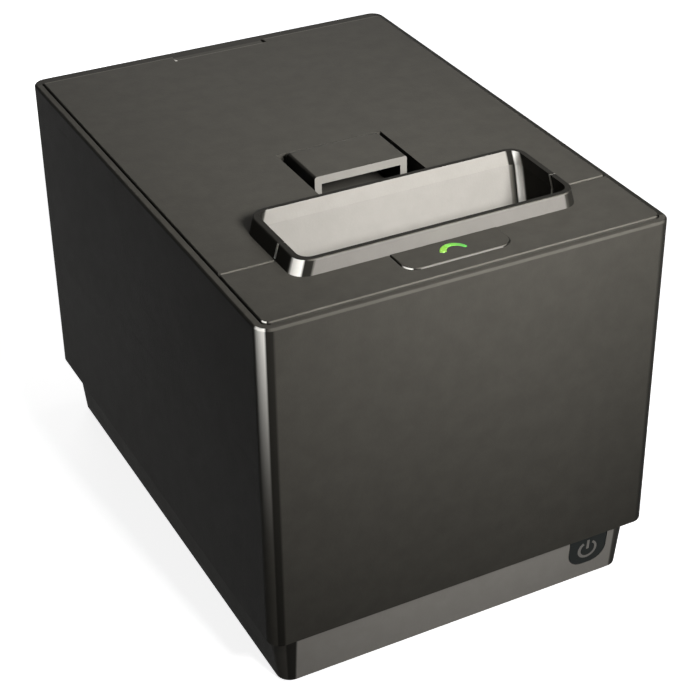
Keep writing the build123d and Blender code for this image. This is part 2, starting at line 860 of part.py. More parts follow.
# ---------------------------------------------------------------- platen in the lid
roller = (roller_y, roller_z)
holder_inner = roller_length / 2 + 1.5
holder_sheet = 1.5
bush_flange = holder_inner + holder_sheet
blade_edge = roller_y - 7.9
with BuildPart() as platen_holder:
    block(
        (-holder_inner - holder_sheet, holder_inner + holder_sheet),
        (roller_y - 5.5, collar_rear + 0.2),
        holder_flange,
    )
    block(
        (-holder_inner - holder_sheet, holder_inner + holder_sheet),
        (collar_rear - 1, collar_rear + 0.2),
        (roller_z - 5, holder_flange[1]),
    )
    side_pair(
        holder_inner,
        holder_sheet,
        [
            (roller_y - 5, holder_flange[1]),
            (roller_y - 5, roller_z),
            (roller_y, roller_z - 5),
            (roller_y + 5, roller_z - 4),
            (collar_rear + 0.2, roller_z),
            (collar_rear + 0.2, holder_flange[1]),
        ],
    )
    for x_low in (holder_inner, -holder_inner - holder_sheet):
        cross_bar(roller, 5.0, (x_low, x_low + holder_sheet))
    cross_bar(roller, bush_radius, (-chassis_half_width, chassis_half_width), Mode.SUBTRACT)
    with BuildSketch(Plane.XY.offset(holder_flange[0])):
        with Locations(*holder_places):
            Circle(post_hole)
    extrude(amount=2, mode=Mode.SUBTRACT)
platen_holder.part.label = "platen_holder"
export_step(platen_holder.part, "parts/platen_holder.step")

holder_screws = screws(holder_places, holder_flange[0], 6.0, True)
holder_screws.label = "holder_screws"
export_step(holder_screws, "parts/holder_screws.step")

counter_sheet = 1.2
with BuildPart() as counter_blade:
    block(
        (-holder_inner + 1, holder_inner - 1),
        (blade_edge, roller_y + 3),
        (holder_flange[0] - counter_sheet, holder_flange[0]),
    )
    chamfer(counter_blade.edges().filter_by(Axis.X).group_by(Axis.Y)[0].sort_by(Axis.Z)[-1], 0.8)
counter_blade.part.label = "counter_blade"
export_step(counter_blade.part, "parts/counter_blade.step")

with BuildPart() as platen_roller:
    cross_bar(roller, roller_radius, (-roller_length / 2, roller_length / 2))
    chamfer(platen_roller.edges().filter_by(GeomType.CIRCLE), 0.4)
    cross_bar(roller, shaft_radius, (-roller_length, roller_length), Mode.SUBTRACT)
platen_roller.part.label = "platen_roller"
export_step(platen_roller.part, "parts/platen_roller.step")

with BuildPart() as platen_shaft:
    cross_bar(roller, shaft_radius, (-frame_half_width - 1.5, gear_x + gear_width + 0.5))
    chamfer(platen_shaft.edges().filter_by(GeomType.CIRCLE), 0.3)
platen_shaft.part.label = "platen_shaft"
export_step(platen_shaft.part, "parts/platen_shaft.step")

with BuildPart() as platen_bushes:
    for x_low, x_high, flange_low in (
        (holder_inner, frame_half_width + 1.3, bush_flange),
        (-frame_half_width - 1.3, -holder_inner, -bush_flange - 1.4),
    ):
        cross_bar(roller, bush_radius, (x_low, x_high))
        cross_bar(roller, bush_radius + 1.4, (flange_low, flange_low + 1.4))
    across = (-chassis_half_width, chassis_half_width)
    cross_bar(roller, shaft_radius + running_gap, across, Mode.SUBTRACT)
platen_bushes.part.label = "platen_bushes"
export_step(platen_bushes.part, "parts/platen_bushes.step")

# ---------------------------------------------------------------- gear train
lift_direction = degrees(atan2(roller_z - hinge_z, roller_y - hinge_y)) - 270
platen_tooth = 0.0
idler_centre, idler_tooth = next_gear(
    roller, platen_teeth, platen_tooth, lift_direction, idler_teeth
)
reduction_centre, reduction_tooth = next_gear(
    idler_centre, idler_teeth, idler_tooth, 177, reduction_teeth
)
pinion_centre, pinion_tooth = next_gear(
    reduction_centre, reduction_teeth, reduction_tooth, 140, pinion_teeth
)
stud_radius = 1.5
motor_shaft_radius = 1.0
motor_boss = 3.6

platen_gear = spur_gear(roller, platen_teeth, platen_tooth, shaft_radius)
platen_gear.label = "platen_gear"
export_step(platen_gear, "parts/platen_gear.step")

idler_gear = spur_gear(idler_centre, idler_teeth, idler_tooth, stud_radius + running_gap)
idler_gear.label = "idler_gear"
export_step(idler_gear, "parts/idler_gear.step")

reduction_gear = spur_gear(
    reduction_centre, reduction_teeth, reduction_tooth, stud_radius + running_gap
)
reduction_gear.label = "reduction_gear"
export_step(reduction_gear, "parts/reduction_gear.step")

motor_pinion = spur_gear(pinion_centre, pinion_teeth, pinion_tooth, motor_shaft_radius)
motor_pinion.label = "motor_pinion"
export_step(motor_pinion, "parts/motor_pinion.step")

with BuildPart() as gear_studs:
    for centre in (idler_centre, reduction_centre):
        cross_bar(centre, stud_radius, (frame_half_width, gear_x + gear_width + 0.6))
        cross_bar(centre, stud_radius + 1.2, (frame_half_width, gear_x - 0.3))
gear_studs.part.label = "gear_studs"
export_step(gear_studs.part, "parts/gear_studs.step")

# ---------------------------------------------------------------- print frame and head
cutter_z = roller_z + 8.5
cutter_centre = (roller_y - 25.5, roller_z - 3.0)
cutter_motor_length = 27.0
motor_low = -frame_inner
motor_high = motor_low + cutter_motor_length
cutter_gear_x = motor_high + 4.0
frame_front = case_front + 4.5
frame_back = roller_y + 10.5
notch_half = bush_radius + 0.4
frame_top = frame_floor + frame_sheet
bolt_x = frame_half_width - 6.2
frame_bolts = [(x, y) for y in (frame_back - 6, frame_front + 7.5) for x in (bolt_x, -bolt_x)]
with BuildPart() as print_frame:
    block((-frame_half_width, frame_half_width), (frame_front, frame_back), (frame_floor, frame_top))
    side_pair(
        frame_inner,
        frame_sheet,
        [
            (frame_front, frame_floor),
            (frame_back, frame_floor),
            (frame_back, roller_z + 1),
            (frame_back - 3, roller_z + 4.5),
            (roller_y + notch_half, roller_z + 4.5),
            (roller_y + notch_half, roller_z),
            (roller_y - notch_half, roller_z),
            (roller_y - notch_half - 1.6, roller_z + 5.5),
            (roller_y - 8.3, cutter_z),
            (frame_front, cutter_z),
        ],
    )
    cross_bar(roller, notch_half, (-chassis_half_width, chassis_half_width), Mode.SUBTRACT)
    cross_bar(pinion_centre, motor_boss + 0.4, (frame_inner - 1, gear_x), Mode.SUBTRACT)
    with BuildSketch(Plane.XY.offset(frame_floor)):
        with Locations(*frame_bolts):
            Circle(post_hole)
    extrude(amount=frame_sheet, mode=Mode.SUBTRACT)
print_frame.part.label = "print_frame"
export_step(print_frame.part, "parts/print_frame.step")


def head_point(along, out):
    """A (y, z) point measured along the print head's face and away from the roller."""
    lean = radians(head_angle)
    reach = roller_radius + head_gap + out
    return (
        roller_y - reach * cos(lean) - along * sin(lean),
        roller_z - reach * sin(lean) + along * cos(lean),
    )


def head_slab(along, out):
    """Outline of a slab lying along the print head between two pairs of limits."""
    return [
        head_point(along[0], out[0]),
        head_point(along[1], out[0]),
        head_point(along[1], out[1]),
        head_point(along[0], out[1]),
    ]


head_half_length = roller_length / 2 + 2.5
head_pin_radius = 1.2
pin_place = head_point(-9, 3)
head_ends = (-9.0, 4.0)
sink_back = head_board + sink_thickness
spring_length = 5.0
spring_x = 24.0
with BuildPart() as print_head:
    plate(
        Plane.YZ.offset(-head_half_length),
        head_slab(head_ends, (0, head_board)),
        2 * head_half_length,
    )
print_head.part.label = "print_head"
export_step(print_head.part, "parts/print_head.step")

with BuildPart() as heat_sink:
    plate(
        Plane.YZ.offset(-head_half_length - 1),
        head_slab((head_ends[0] - 2, head_ends[1]), (head_board, sink_back)),
        2 * head_half_length + 2,
    )
    for start in (-6.0, -3.5, 1.5):
        plate(
            Plane.YZ.offset(-head_half_length - 2),
            head_slab((start, start + 1.2), (sink_back - 2, sink_back + 1)),
            2 * head_half_length + 4,
            Mode.SUBTRACT,
        )
    cross_bar(pin_place, head_pin_radius, (-chassis_half_width, chassis_half_width), Mode.SUBTRACT)
heat_sink.part.label = "heat_sink"
export_step(heat_sink.part, "parts/heat_sink.step")

with BuildPart() as head_pin:
    cross_bar(pin_place, head_pin_radius, (-frame_inner, frame_inner))
head_pin.part.label = "head_pin"
export_step(head_pin.part, "parts/head_pin.step")

bracket_out = sink_back + spring_length
bracket_low = head_point(-11, bracket_out)
with BuildPart() as head_bracket:
    plate(
        Plane.YZ.offset(-head_half_length + 4),
        [
            head_point(3, bracket_out),
            head_point(3, bracket_out + frame_sheet),
            (bracket_low[0] - frame_sheet, bracket_low[1] - frame_sheet),
            (bracket_low[0] - frame_sheet, frame_top + frame_sheet),
            (bracket_low[0] - 9, frame_top + frame_sheet),
            (bracket_low[0] - 9, frame_top),
            (bracket_low[0], frame_top),
            bracket_low,
        ],
        2 * head_half_length - 8,
    )
    relief = (cutter_gear_x - 1.5, cutter_gear_x + gear_width + 1.5)
    cross_bar(cutter_centre, module * (cutter_teeth / 2 + 2.25), relief, Mode.SUBTRACT)
head_bracket.part.label = "head_bracket"
export_step(head_bracket.part, "parts/head_bracket.step")

spring_place = head_point(0.3, sink_back)
spring_far = head_point(0.3, bracket_out)
coil_radius = 2.4
with BuildPart() as head_springs:
    for x_place in (-spring_x, spring_x):
        start = Vector(x_place, spring_place[0], spring_place[1])
        way = Vector(0, spring_far[0] - spring_place[0], spring_far[1] - spring_place[1])
        with BuildLine() as coil:
            Helix(
                1.3,
                spring_length - 2 * spring_wire,
                coil_radius,
                center=start + way.normalized() * spring_wire,
                direction=way,
            )
        with BuildSketch(Plane(origin=coil.line @ 0, z_dir=coil.line % 0)) as wire:
            RegularPolygon(spring_wire, wire_sides)
        sweep(wire.sketch, path=coil.line, is_frenet=True)
head_springs.part.label = "head_springs"
export_step(head_springs.part, "parts/head_springs.step")

# ---------------------------------------------------------------- feed motor
motor_radius = 11.0
can_edge = 0.8
motor_length = 22.0
motor_back = frame_inner - motor_length
with BuildPart() as feed_motor:
    cross_bar(pinion_centre, motor_radius, (motor_back, frame_inner))
    chamfer(feed_motor.edges().filter_by(GeomType.CIRCLE), can_edge)
    cross_bar(pinion_centre, motor_boss, (frame_inner, frame_half_width + 0.4))
    cross_bar(pinion_centre, motor_shaft_radius + running_gap, (frame_inner - 8, gear_x), Mode.SUBTRACT)
feed_motor.part.label = "feed_motor"
export_step(feed_motor.part, "parts/feed_motor.step")

with BuildPart() as feed_motor_shaft:
    cross_bar(pinion_centre, motor_shaft_radius, (frame_inner - 7.5, gear_x + gear_width + 0.6))
feed_motor_shaft.part.label = "feed_motor_shaft"
export_step(feed_motor_shaft.part, "parts/feed_motor_shaft.step")

# ---------------------------------------------------------------- cutter
cutter_motor_radius = 9.0
plate_top = cutter_z + frame_sheet
blade_half_width = frame_half_width - 5.2
blade_rest = blade_edge - 4.6
blade_back = blade_rest - 23.0
blade_sheet = 1.2
vee_depth = 2.5
rail_gap = 0.6
rack_line = cutter_centre[1] + module * cutter_teeth / 2 + centre_slack
tooth_pitch = pi * module
rack_first = -5
rack_teeth = 7
rack_start = cutter_centre[0] + (rack_first - 0.2) * tooth_pitch
rack_end = cutter_centre[0] + (rack_first + rack_teeth + 0.2) * tooth_pitch

with BuildPart() as cutter_frame:
    block((-frame_half_width, frame_half_width), (frame_front, blade_rest + 1), (cutter_z, plate_top))
    block(
        (cutter_gear_x - 0.5, cutter_gear_x + gear_width + 0.5),
        (rack_start - 0.5, rack_end + blade_travel + 0.5),
        (cutter_z, plate_top),
        Mode.SUBTRACT,
    )
cutter_frame.part.label = "cutter_frame"
export_step(cutter_frame.part, "parts/cutter_frame.step")

cover_z = holder_flange[0] + 0.2
with BuildPart() as cutter_cover:
    cover_y = (frame_front, blade_rest - 2)
    block((-frame_half_width, frame_half_width), cover_y, (plate_top, cover_z + frame_sheet))
    rail_inner = blade_half_width + rail_gap
    block((-rail_inner, rail_inner), (frame_front - 1, blade_edge), (plate_top, cover_z), Mode.SUBTRACT)
cutter_cover.part.label = "cutter_cover"
export_step(cutter_cover.part, "parts/cutter_cover.step")

with BuildPart() as moving_blade:
    plate(
        Plane.XY.offset(plate_top),
        [
            (-blade_half_width, blade_back),
            (blade_half_width, blade_back),
            (blade_half_width, blade_rest),
            (0, blade_rest - vee_depth),
            (-blade_half_width, blade_rest),
        ],
        blade_sheet,
    )
    chamfer(moving_blade.edges().group_by(Axis.Z)[0].sort_by(Axis.Y)[-2:], 0.8)
moving_blade.part.label = "moving_blade"
export_step(moving_blade.part, "parts/moving_blade.step")

rack_root = rack_line + 1.2 * module
rack_tip = rack_line - 0.95 * module
rack_half = (tooth_pitch - tooth_slack) / 4
rack_outline = [(rack_start, plate_top), (rack_start, rack_root)]
for tooth in range(rack_first, rack_first + rack_teeth):
    middle = cutter_centre[0] + (tooth + 0.5) * tooth_pitch
    flank = tan(radians(20)) * module
    rack_outline += [
        (middle - rack_half - 1.2 * flank, rack_root),
        (middle - rack_half + 0.95 * flank, rack_tip),
        (middle + rack_half - 0.95 * flank, rack_tip),
        (middle + rack_half + 1.2 * flank, rack_root),
    ]
rack_outline += [(rack_end, rack_root), (rack_end, plate_top)]
with BuildPart() as blade_rack:
    plate(Plane.YZ.offset(cutter_gear_x), rack_outline, gear_width)
blade_rack.part.label = "blade_rack"
export_step(blade_rack.part, "parts/blade_rack.step")

with BuildPart() as cutter_motor:
    cross_bar(cutter_centre, cutter_motor_radius, (motor_low, motor_high))
    chamfer(cutter_motor.edges().filter_by(GeomType.CIRCLE), can_edge)
    cross_bar(cutter_centre, 3.0, (motor_high, motor_high + 1.5))
    shaft_hole = (motor_high - 8, cutter_gear_x)
    cross_bar(cutter_centre, motor_shaft_radius + running_gap, shaft_hole, Mode.SUBTRACT)
cutter_motor.part.label = "cutter_motor"
export_step(cutter_motor.part, "parts/cutter_motor.step")

with BuildPart() as cutter_motor_shaft:
    cross_bar(cutter_centre, motor_shaft_radius, (motor_high - 7.5, cutter_gear_x + gear_width + 0.6))
cutter_motor_shaft.part.label = "cutter_motor_shaft"
export_step(cutter_motor_shaft.part, "parts/cutter_motor_shaft.step")

cutter_gear = spur_gear(cutter_centre, cutter_teeth, 90, motor_shaft_radius, cutter_gear_x)
cutter_gear.label = "cutter_gear"
export_step(cutter_gear, "parts/cutter_gear.step")

# ---------------------------------------------------------------- chassis and paper bucket
ear_radius = rod_radius + 1.0
bucket_outer = bucket_radius + bucket_wall
bucket_side = bucket_half_width + bucket_wall
bucket_front = bucket_y - bucket_outer
bucket_rear = bucket_y + bucket_outer
flange_z = bucket_top - bucket_wall
guide_z = roller_z - 14.0
guide_front = roller_y + 8.5
chassis_front = case_front + 8.0
chassis_rear = tray_face_y
waist_z = chassis_foot + 18.0
shoulder_z = chassis_foot + 26.0
rear_wall_top = top_height - 25.0
side_top = bucket_top + 3.0
with BuildSketch(Plane.YZ) as chassis_side:
    with BuildLine():
        Polyline(
            (chassis_front + 14, chassis_foot),
            (chassis_rear - 10, chassis_foot),
            (chassis_rear - 10, waist_z),
            (chassis_rear, shoulder_z),
            (chassis_rear, rear_wall_top),
            (hinge_y + ear_radius, rear_wall_top + 5),
            (hinge_y + ear_radius, hinge_z),
            (hinge_y - ear_radius, hinge_z),
            (hinge_y - 8, side_top),
            (lever_pivot_y - 21.7, side_top),
            (lever_pivot_y - 25.7, frame_floor + 18),
            (chassis_front, frame_floor + 18),
            (chassis_front, shoulder_z),
            (chassis_front + 14, waist_z),
            close=True,
        )
    make_face()
    with Locations((hinge_y, hinge_z)):
        Circle(ear_radius)
        Circle(rod_radius, mode=Mode.SUBTRACT)
with BuildPart() as chassis:
    for x_low in (wall_inner, -chassis_half_width):
        extrude(chassis_side.sketch.moved(Location((x_low, 0, 0))), amount=chassis_wall)
    deck_y = (chassis_front, bucket_front - 4)
    block((-wall_inner, wall_inner), deck_y, (deck_top - deck_thickness, deck_top))
    front_wall = (chassis_front, chassis_front + chassis_wall)
    rear_wall = (bucket_rear + 2, bucket_rear + 2 + chassis_wall)
    block((-wall_inner, wall_inner), front_wall, (shoulder_z, deck_top))
    block((-wall_inner, wall_inner), rear_wall, (waist_z, rear_wall_top))
    for side in (-1, 1):
        pad = sorted((side * (chassis_post[0] - 4), side * wall_inner))
        for end in (-1, 1):
            middle = end * chassis_post[1]
            block(pad, (middle - 5, middle + 5), (chassis_foot, chassis_foot + 2.5))
        shelf = sorted((side * (wall_inner - 3), side * wall_inner))
        block(shelf, (bucket_y - 24, bucket_y + 36), (flange_z - 2.5, flange_z))
        post = sorted((side * chassis_half_width, side * (hook_x + hook_sheet)))
        cross_bar((nose_y + hook_gap + post_radius, nose_z + 4), post_radius, post)
    with BuildSketch(Plane.XY.offset(chassis_foot)):
        with Locations(*four_corners(*chassis_post)):
            Circle(post_hole)
    extrude(amount=3, mode=Mode.SUBTRACT)
    with BuildSketch(Plane.XY.offset(deck_top)):
        with Locations(*frame_bolts):
            Circle(post_hole)
    extrude(amount=-deck_thickness, mode=Mode.SUBTRACT)
chassis.part.label = "chassis"
export_step(chassis.part, "parts/chassis.step")

chassis_screws = screws(four_corners(*chassis_post), chassis_foot + 2.5, 10.0, False)
chassis_screws.label = "chassis_screws"
export_step(chassis_screws, "parts/chassis_screws.step")

frame_screws = screws(frame_bolts, frame_top, 5.0, False)
frame_screws.label = "frame_screws"
export_step(frame_screws, "parts/frame_screws.step")

sensor_place = (14.0, guide_front + 5.0)
with BuildPart() as paper_bucket:
    cross_bar((bucket_y, bucket_z), bucket_outer, (-bucket_side, bucket_side))
    block((-bucket_side, bucket_side), (bucket_front, bucket_rear), (bucket_z, bucket_top))
    cross_bar(
        (bucket_y, bucket_z), bucket_radius, (-bucket_half_width, bucket_half_width), Mode.SUBTRACT
    )
    block(
        (-bucket_half_width, bucket_half_width),
        (bucket_front + bucket_wall, bucket_rear - bucket_wall),
        (bucket_z, bucket_top),
        Mode.SUBTRACT,
    )
    plate(
        Plane.YZ.offset(-bucket_side),
        [
            (bucket_front - 1, guide_z + bucket_wall),
            (bucket_front - 1, bucket_top + 1),
            (bucket_front + 18, bucket_top + 1),
            (bucket_front + 6, guide_z + bucket_wall),
        ],
        2 * bucket_side,
        Mode.SUBTRACT,
    )
    guide_y = (guide_front, bucket_front + 0.5)
    block((-bucket_side, bucket_side), guide_y, (guide_z, guide_z + bucket_wall))
    block(
        (-bucket_side, bucket_side),
        (bucket_front, bucket_rear),
        (bucket_top, bucket_top + bucket_radius),
        Mode.SUBTRACT,
    )
    guide_edge = paper_bucket.edges().filter_by(Axis.X).group_by(Axis.Y)[0].sort_by(Axis.Z)[-1]
    fillet(guide_edge, bucket_wall - 0.5)
    for side in (-1, 1):
        flange = sorted((side * bucket_side, side * (wall_inner - 0.2)))
        block(flange, (bucket_y - 26, bucket_y + 38), (flange_z, bucket_top))
    round_bar(Plane.XY.offset(guide_z), sensor_place, 2.0, bucket_wall, Mode.SUBTRACT)
paper_bucket.part.label = "paper_bucket"
export_step(paper_bucket.part, "parts/paper_bucket.step")

with BuildPart() as paper_sensor:
    block(
        (sensor_place[0] - 5, sensor_place[0] + 5),
        (sensor_place[1] - 4, sensor_place[1] + 4),
        (guide_z - 5, guide_z),
    )
    round_bar(Plane.XY.offset(guide_z), sensor_place, 1.6, 1.2)
paper_sensor.part.label = "paper_sensor"
export_step(paper_sensor.part, "parts/paper_sensor.step")

with BuildPart() as lid_switch:
    body_top = plunger_top - 2.2
    block((-wall_inner, 6 - wall_inner), (switch_y, switch_y + 13), (body_top - 7, body_top))
    arm_x = (2 - wall_inner, 4.5 - wall_inner)
    block(arm_x, (switch_y + 1, switch_y + 10), (body_top, plunger_top))
lid_switch.part.label = "lid_switch"
export_step(lid_switch.part, "parts/lid_switch.step")

# ---------------------------------------------------------------- main board and rear connectors
board_front = case_front + 24.0
board_back = tray_face_y - 4.0
with BuildPart() as main_board:
    block((-board_half_width, board_half_width), (board_front, board_back), (board_z, board_top))
    with BuildSketch(Plane.XY.offset(board_z)):
        with Locations(*four_corners(*board_post)):
            Circle(post_hole)
    extrude(amount=board_thickness, mode=Mode.SUBTRACT)
main_board.part.label = "main_board"
export_step(main_board.part, "parts/main_board.step")

board_screws = screws(four_corners(*board_post), board_top, 5.5, False)
board_screws.label = "board_screws"
export_step(board_screws, "parts/board_screws.step")

with BuildPart() as board_chips:
    for x_low, y_low, width, length, tall in (
        (-22, -34, 16, 16, 1.6),
        (8, -8, 14, 9, 1.4),
        (-36, 12, 8, 20, 2.2),
        (16, 22, 10, 10, 1.2),
    ):
        block((x_low, x_low + width), (y_low, y_low + length), (board_top, board_top + tall))
board_chips.part.label = "board_chips"
export_step(board_chips.part, "parts/board_chips.step")

can_radius = 5.0
can_height = 16.0
with BuildPart() as capacitors:
    with BuildSketch(Plane.XY.offset(board_top)):
        with Locations((34, -48), (34, -34), (-38, -46), (36, 44)):
            Circle(can_radius)
    extrude(amount=can_height)
    chamfer(capacitors.edges().group_by(Axis.Z)[-1], 0.5)
capacitors.part.label = "capacitors"
export_step(capacitors.part, "parts/capacitors.step")

port_back = tray_face_y + tray_sheet + port_proud
port_front = port_back - 16.0
socket_depth = 10.0
mouth = (port_back - socket_depth, port_back + 1)
ports = {
    "power_jack": ((5.5 - tray_half_width, 19.5 - tray_half_width), 13.0),
    "drawer_port": ((-24.0, -10.5), 13.0),
    "usb_port": ((0.0, 12.0), 11.0),
    "network_port": ((tray_half_width - 30.5, tray_half_width - 14.5), 13.6),
}
with BuildPart() as connector_tray:
    block((-tray_half_width, tray_half_width), (tray_face_y, case_back - 3), (sill_z, tray_top))
    block(
        (-tray_half_width + tray_sheet, tray_half_width - tray_sheet),
        (tray_face_y + tray_sheet, case_back),
        (sill_z + tray_sheet, tray_top - tray_sheet),
        Mode.SUBTRACT,
    )
    block(
        (-tray_half_width - 1, tray_half_width + 1),
        (case_back - base_inset - 0.3, case_back),
        (sill_z - 1, case_bottom + 3),
        Mode.SUBTRACT,
    )
    for (x_low, x_high), tall in ports.values():
        block(
            (x_low - 0.3, x_high + 0.3),
            (tray_face_y - 1, tray_face_y + tray_sheet + 1),
            (board_top - 0.3, board_top + tall + 0.3),
            Mode.SUBTRACT,
        )
connector_tray.part.label = "connector_tray"
export_step(connector_tray.part, "parts/connector_tray.step")

with BuildPart() as power_jack:
    (x_low, x_high), tall = ports["power_jack"]
    block((x_low, x_high), (port_front, port_back), (board_top, board_top + tall))
    round_bar(
        Plane.XZ.offset(-port_back),
        ((x_low + x_high) / 2, board_top + tall / 2),
        4.6,
        socket_depth,
        Mode.SUBTRACT,
    )
power_jack.part.label = "power_jack"
export_step(power_jack.part, "parts/power_jack.step")

with BuildPart() as drawer_port:
    (x_low, x_high), tall = ports["drawer_port"]
    middle = (x_low + x_high) / 2
    block((x_low, x_high), (port_front, port_back), (board_top, board_top + tall))
    block((middle - 4.9, middle + 4.9), mouth, (board_top + 4.4, board_top + 11.4), Mode.SUBTRACT)
    block((middle - 1.8, middle + 1.8), mouth, (board_top + 2.2, board_top + 5), Mode.SUBTRACT)
drawer_port.part.label = "drawer_port"
export_step(drawer_port.part, "parts/drawer_port.step")

with BuildPart() as usb_port:
    (x_low, x_high), tall = ports["usb_port"]
    middle = (x_low + x_high) / 2
    block((x_low, x_high), (port_front, port_back), (board_top, board_top + tall))
    block((middle - 4.3, middle + 4.3), mouth, (board_top + 1.6, board_top + 9.4), Mode.SUBTRACT)
    block(
        (middle - 2.8, middle + 2.8),
        (port_back - socket_depth, port_back - 5.5),
        (board_top + 3.9, board_top + 7.1),
    )
usb_port.part.label = "usb_port"
export_step(usb_port.part, "parts/usb_port.step")

with BuildPart() as network_port:
    (x_low, x_high), tall = ports["network_port"]
    middle = (x_low + x_high) / 2
    block((x_low, x_high), (port_front, port_back), (board_top, board_top + tall))
    block((middle - 5.9, middle + 5.9), mouth, (board_top + 4, board_top + 12.2), Mode.SUBTRACT)
    block((middle - 3, middle + 3), mouth, (board_top + 1.8, board_top + 5), Mode.SUBTRACT)
network_port.part.label = "network_port"
export_step(network_port.part, "parts/network_port.step")
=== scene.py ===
"""Looks of a desktop receipt printer: moulded case, paper chute, print unit, boards and sockets."""

import json
import math

import bmesh
import bpy
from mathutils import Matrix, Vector


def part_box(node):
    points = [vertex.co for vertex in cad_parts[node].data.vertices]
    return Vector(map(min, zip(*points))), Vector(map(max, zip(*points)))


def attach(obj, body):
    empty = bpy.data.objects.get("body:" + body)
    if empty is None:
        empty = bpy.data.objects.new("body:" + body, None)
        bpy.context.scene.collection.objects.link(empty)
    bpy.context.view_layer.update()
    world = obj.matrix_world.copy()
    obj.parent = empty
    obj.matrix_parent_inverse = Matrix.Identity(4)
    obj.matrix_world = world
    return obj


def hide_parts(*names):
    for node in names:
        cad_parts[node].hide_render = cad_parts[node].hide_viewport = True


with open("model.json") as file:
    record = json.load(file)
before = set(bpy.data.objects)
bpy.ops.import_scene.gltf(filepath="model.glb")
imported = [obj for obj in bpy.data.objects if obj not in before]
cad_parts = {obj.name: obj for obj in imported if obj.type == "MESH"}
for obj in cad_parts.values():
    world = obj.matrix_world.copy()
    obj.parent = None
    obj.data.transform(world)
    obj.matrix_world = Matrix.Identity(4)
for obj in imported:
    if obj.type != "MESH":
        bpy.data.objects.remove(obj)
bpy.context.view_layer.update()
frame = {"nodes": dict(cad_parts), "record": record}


# ---------------------------------------------------------------- small helpers for node trees
def connect(tree, source, target):
    """Join an output socket to an input socket."""
    tree.links.new(source, target)


def feed(tree, socket, value):
    """Give an input a plain value, or join another node's output to it."""
    if hasattr(value, "is_output"):
        tree.links.new(value, socket)
    else:
        socket.default_value = value


def add_node(tree, kind, **values):
    """Add a node; settings go by attribute name, and inputs (values or sockets) by socket name."""
    node = tree.nodes.new(kind)
    for name, value in values.items():
        if hasattr(node, name):
            setattr(node, name, value)
        else:
            feed(tree, node.inputs[name.replace("_", " ")], value)
    return node


def maths(tree, operation, first, second=None, clamp=False):
    """A Math node on sockets or numbers; returns its output."""
    node = add_node(tree, "ShaderNodeMath", operation=operation, use_clamp=clamp)
    feed(tree, node.inputs[0], first)
    if second is not None:
        feed(tree, node.inputs[1], second)
    return node.outputs[0]


def times(tree, first, second):
    """The product of two sockets or numbers."""
    return maths(tree, "MULTIPLY", first, second)


def plus(tree, first, second):
    """The sum of two sockets or numbers."""
    return maths(tree, "ADD", first, second)


def vector_maths(tree, operation, first, second):
    """A Vector Math node on two sockets; returns its vector output."""
    node = add_node(tree, "ShaderNodeVectorMath", operation=operation)
    feed(tree, node.inputs[0], first)
    feed(tree, node.inputs[1], second)
    return node.outputs[0]


def split(tree, vector):
    """The X, Y and Z of a vector socket."""
    node = add_node(tree, "ShaderNodeSeparateXYZ", Vector=vector)
    return node.outputs["X"], node.outputs["Y"], node.outputs["Z"]


def joined(tree, x, y, z):
    """A vector from three values, each a socket or a number."""
    return add_node(tree, "ShaderNodeCombineXYZ", X=x, Y=y, Z=z).outputs[0]


def remap(tree, value, from_low, from_high, to_low, to_high):
    """A clamped Map Range node; returns its output."""
    return add_node(
        tree,
        "ShaderNodeMapRange",
        Value=value,
        From_Min=from_low,
        From_Max=from_high,
        To_Min=to_low,
        To_Max=to_high,
    ).outputs["Result"]


def mix_colours(tree, factor, first, second, blend="MIX"):
    """A colour Mix node on sockets or colours; returns its output."""
    node = tree.nodes.new("ShaderNodeMix")
    node.data_type = "RGBA"
    node.blend_type = blend
    for socket, value in ((node.inputs[0], factor), (node.inputs[6], first), (node.inputs[7], second)):
        plain_colour = not hasattr(value, "is_output") and not isinstance(value, (int, float))
        feed(tree, socket, (*value, 1.0) if plain_colour else value)
    return node.outputs[2]


def tinted(colour, factor):
    """A colour made paler or darker."""
    return [part * factor for part in colour]


def new_group(name, inputs, outputs):
    """A shader node group with named sockets: (name, kind, default) in, (name, kind) out."""
    group = bpy.data.node_groups.new(name, "ShaderNodeTree")
    for label, kind, default in inputs:
        socket = group.interface.new_socket(label, in_out="INPUT", socket_type=kind)
        socket.default_value = default
    for label, kind in outputs:
        group.interface.new_socket(label, in_out="OUTPUT", socket_type=kind)
    return group, group.nodes.new("NodeGroupInput"), group.nodes.new("NodeGroupOutput")


def place_group(tree, group, **values):
    """Put a node group in a material with its own values."""
    node = tree.nodes.new("ShaderNodeGroup")
    node.node_tree = group
    for name, value in values.items():
        feed(tree, node.inputs[name.replace("_", " ").title()], value)
    return node


FLOAT, VECTOR = "NodeSocketFloat", "NodeSocketVector"
ALONG_X = (20.0, 1600.0, 1600.0)


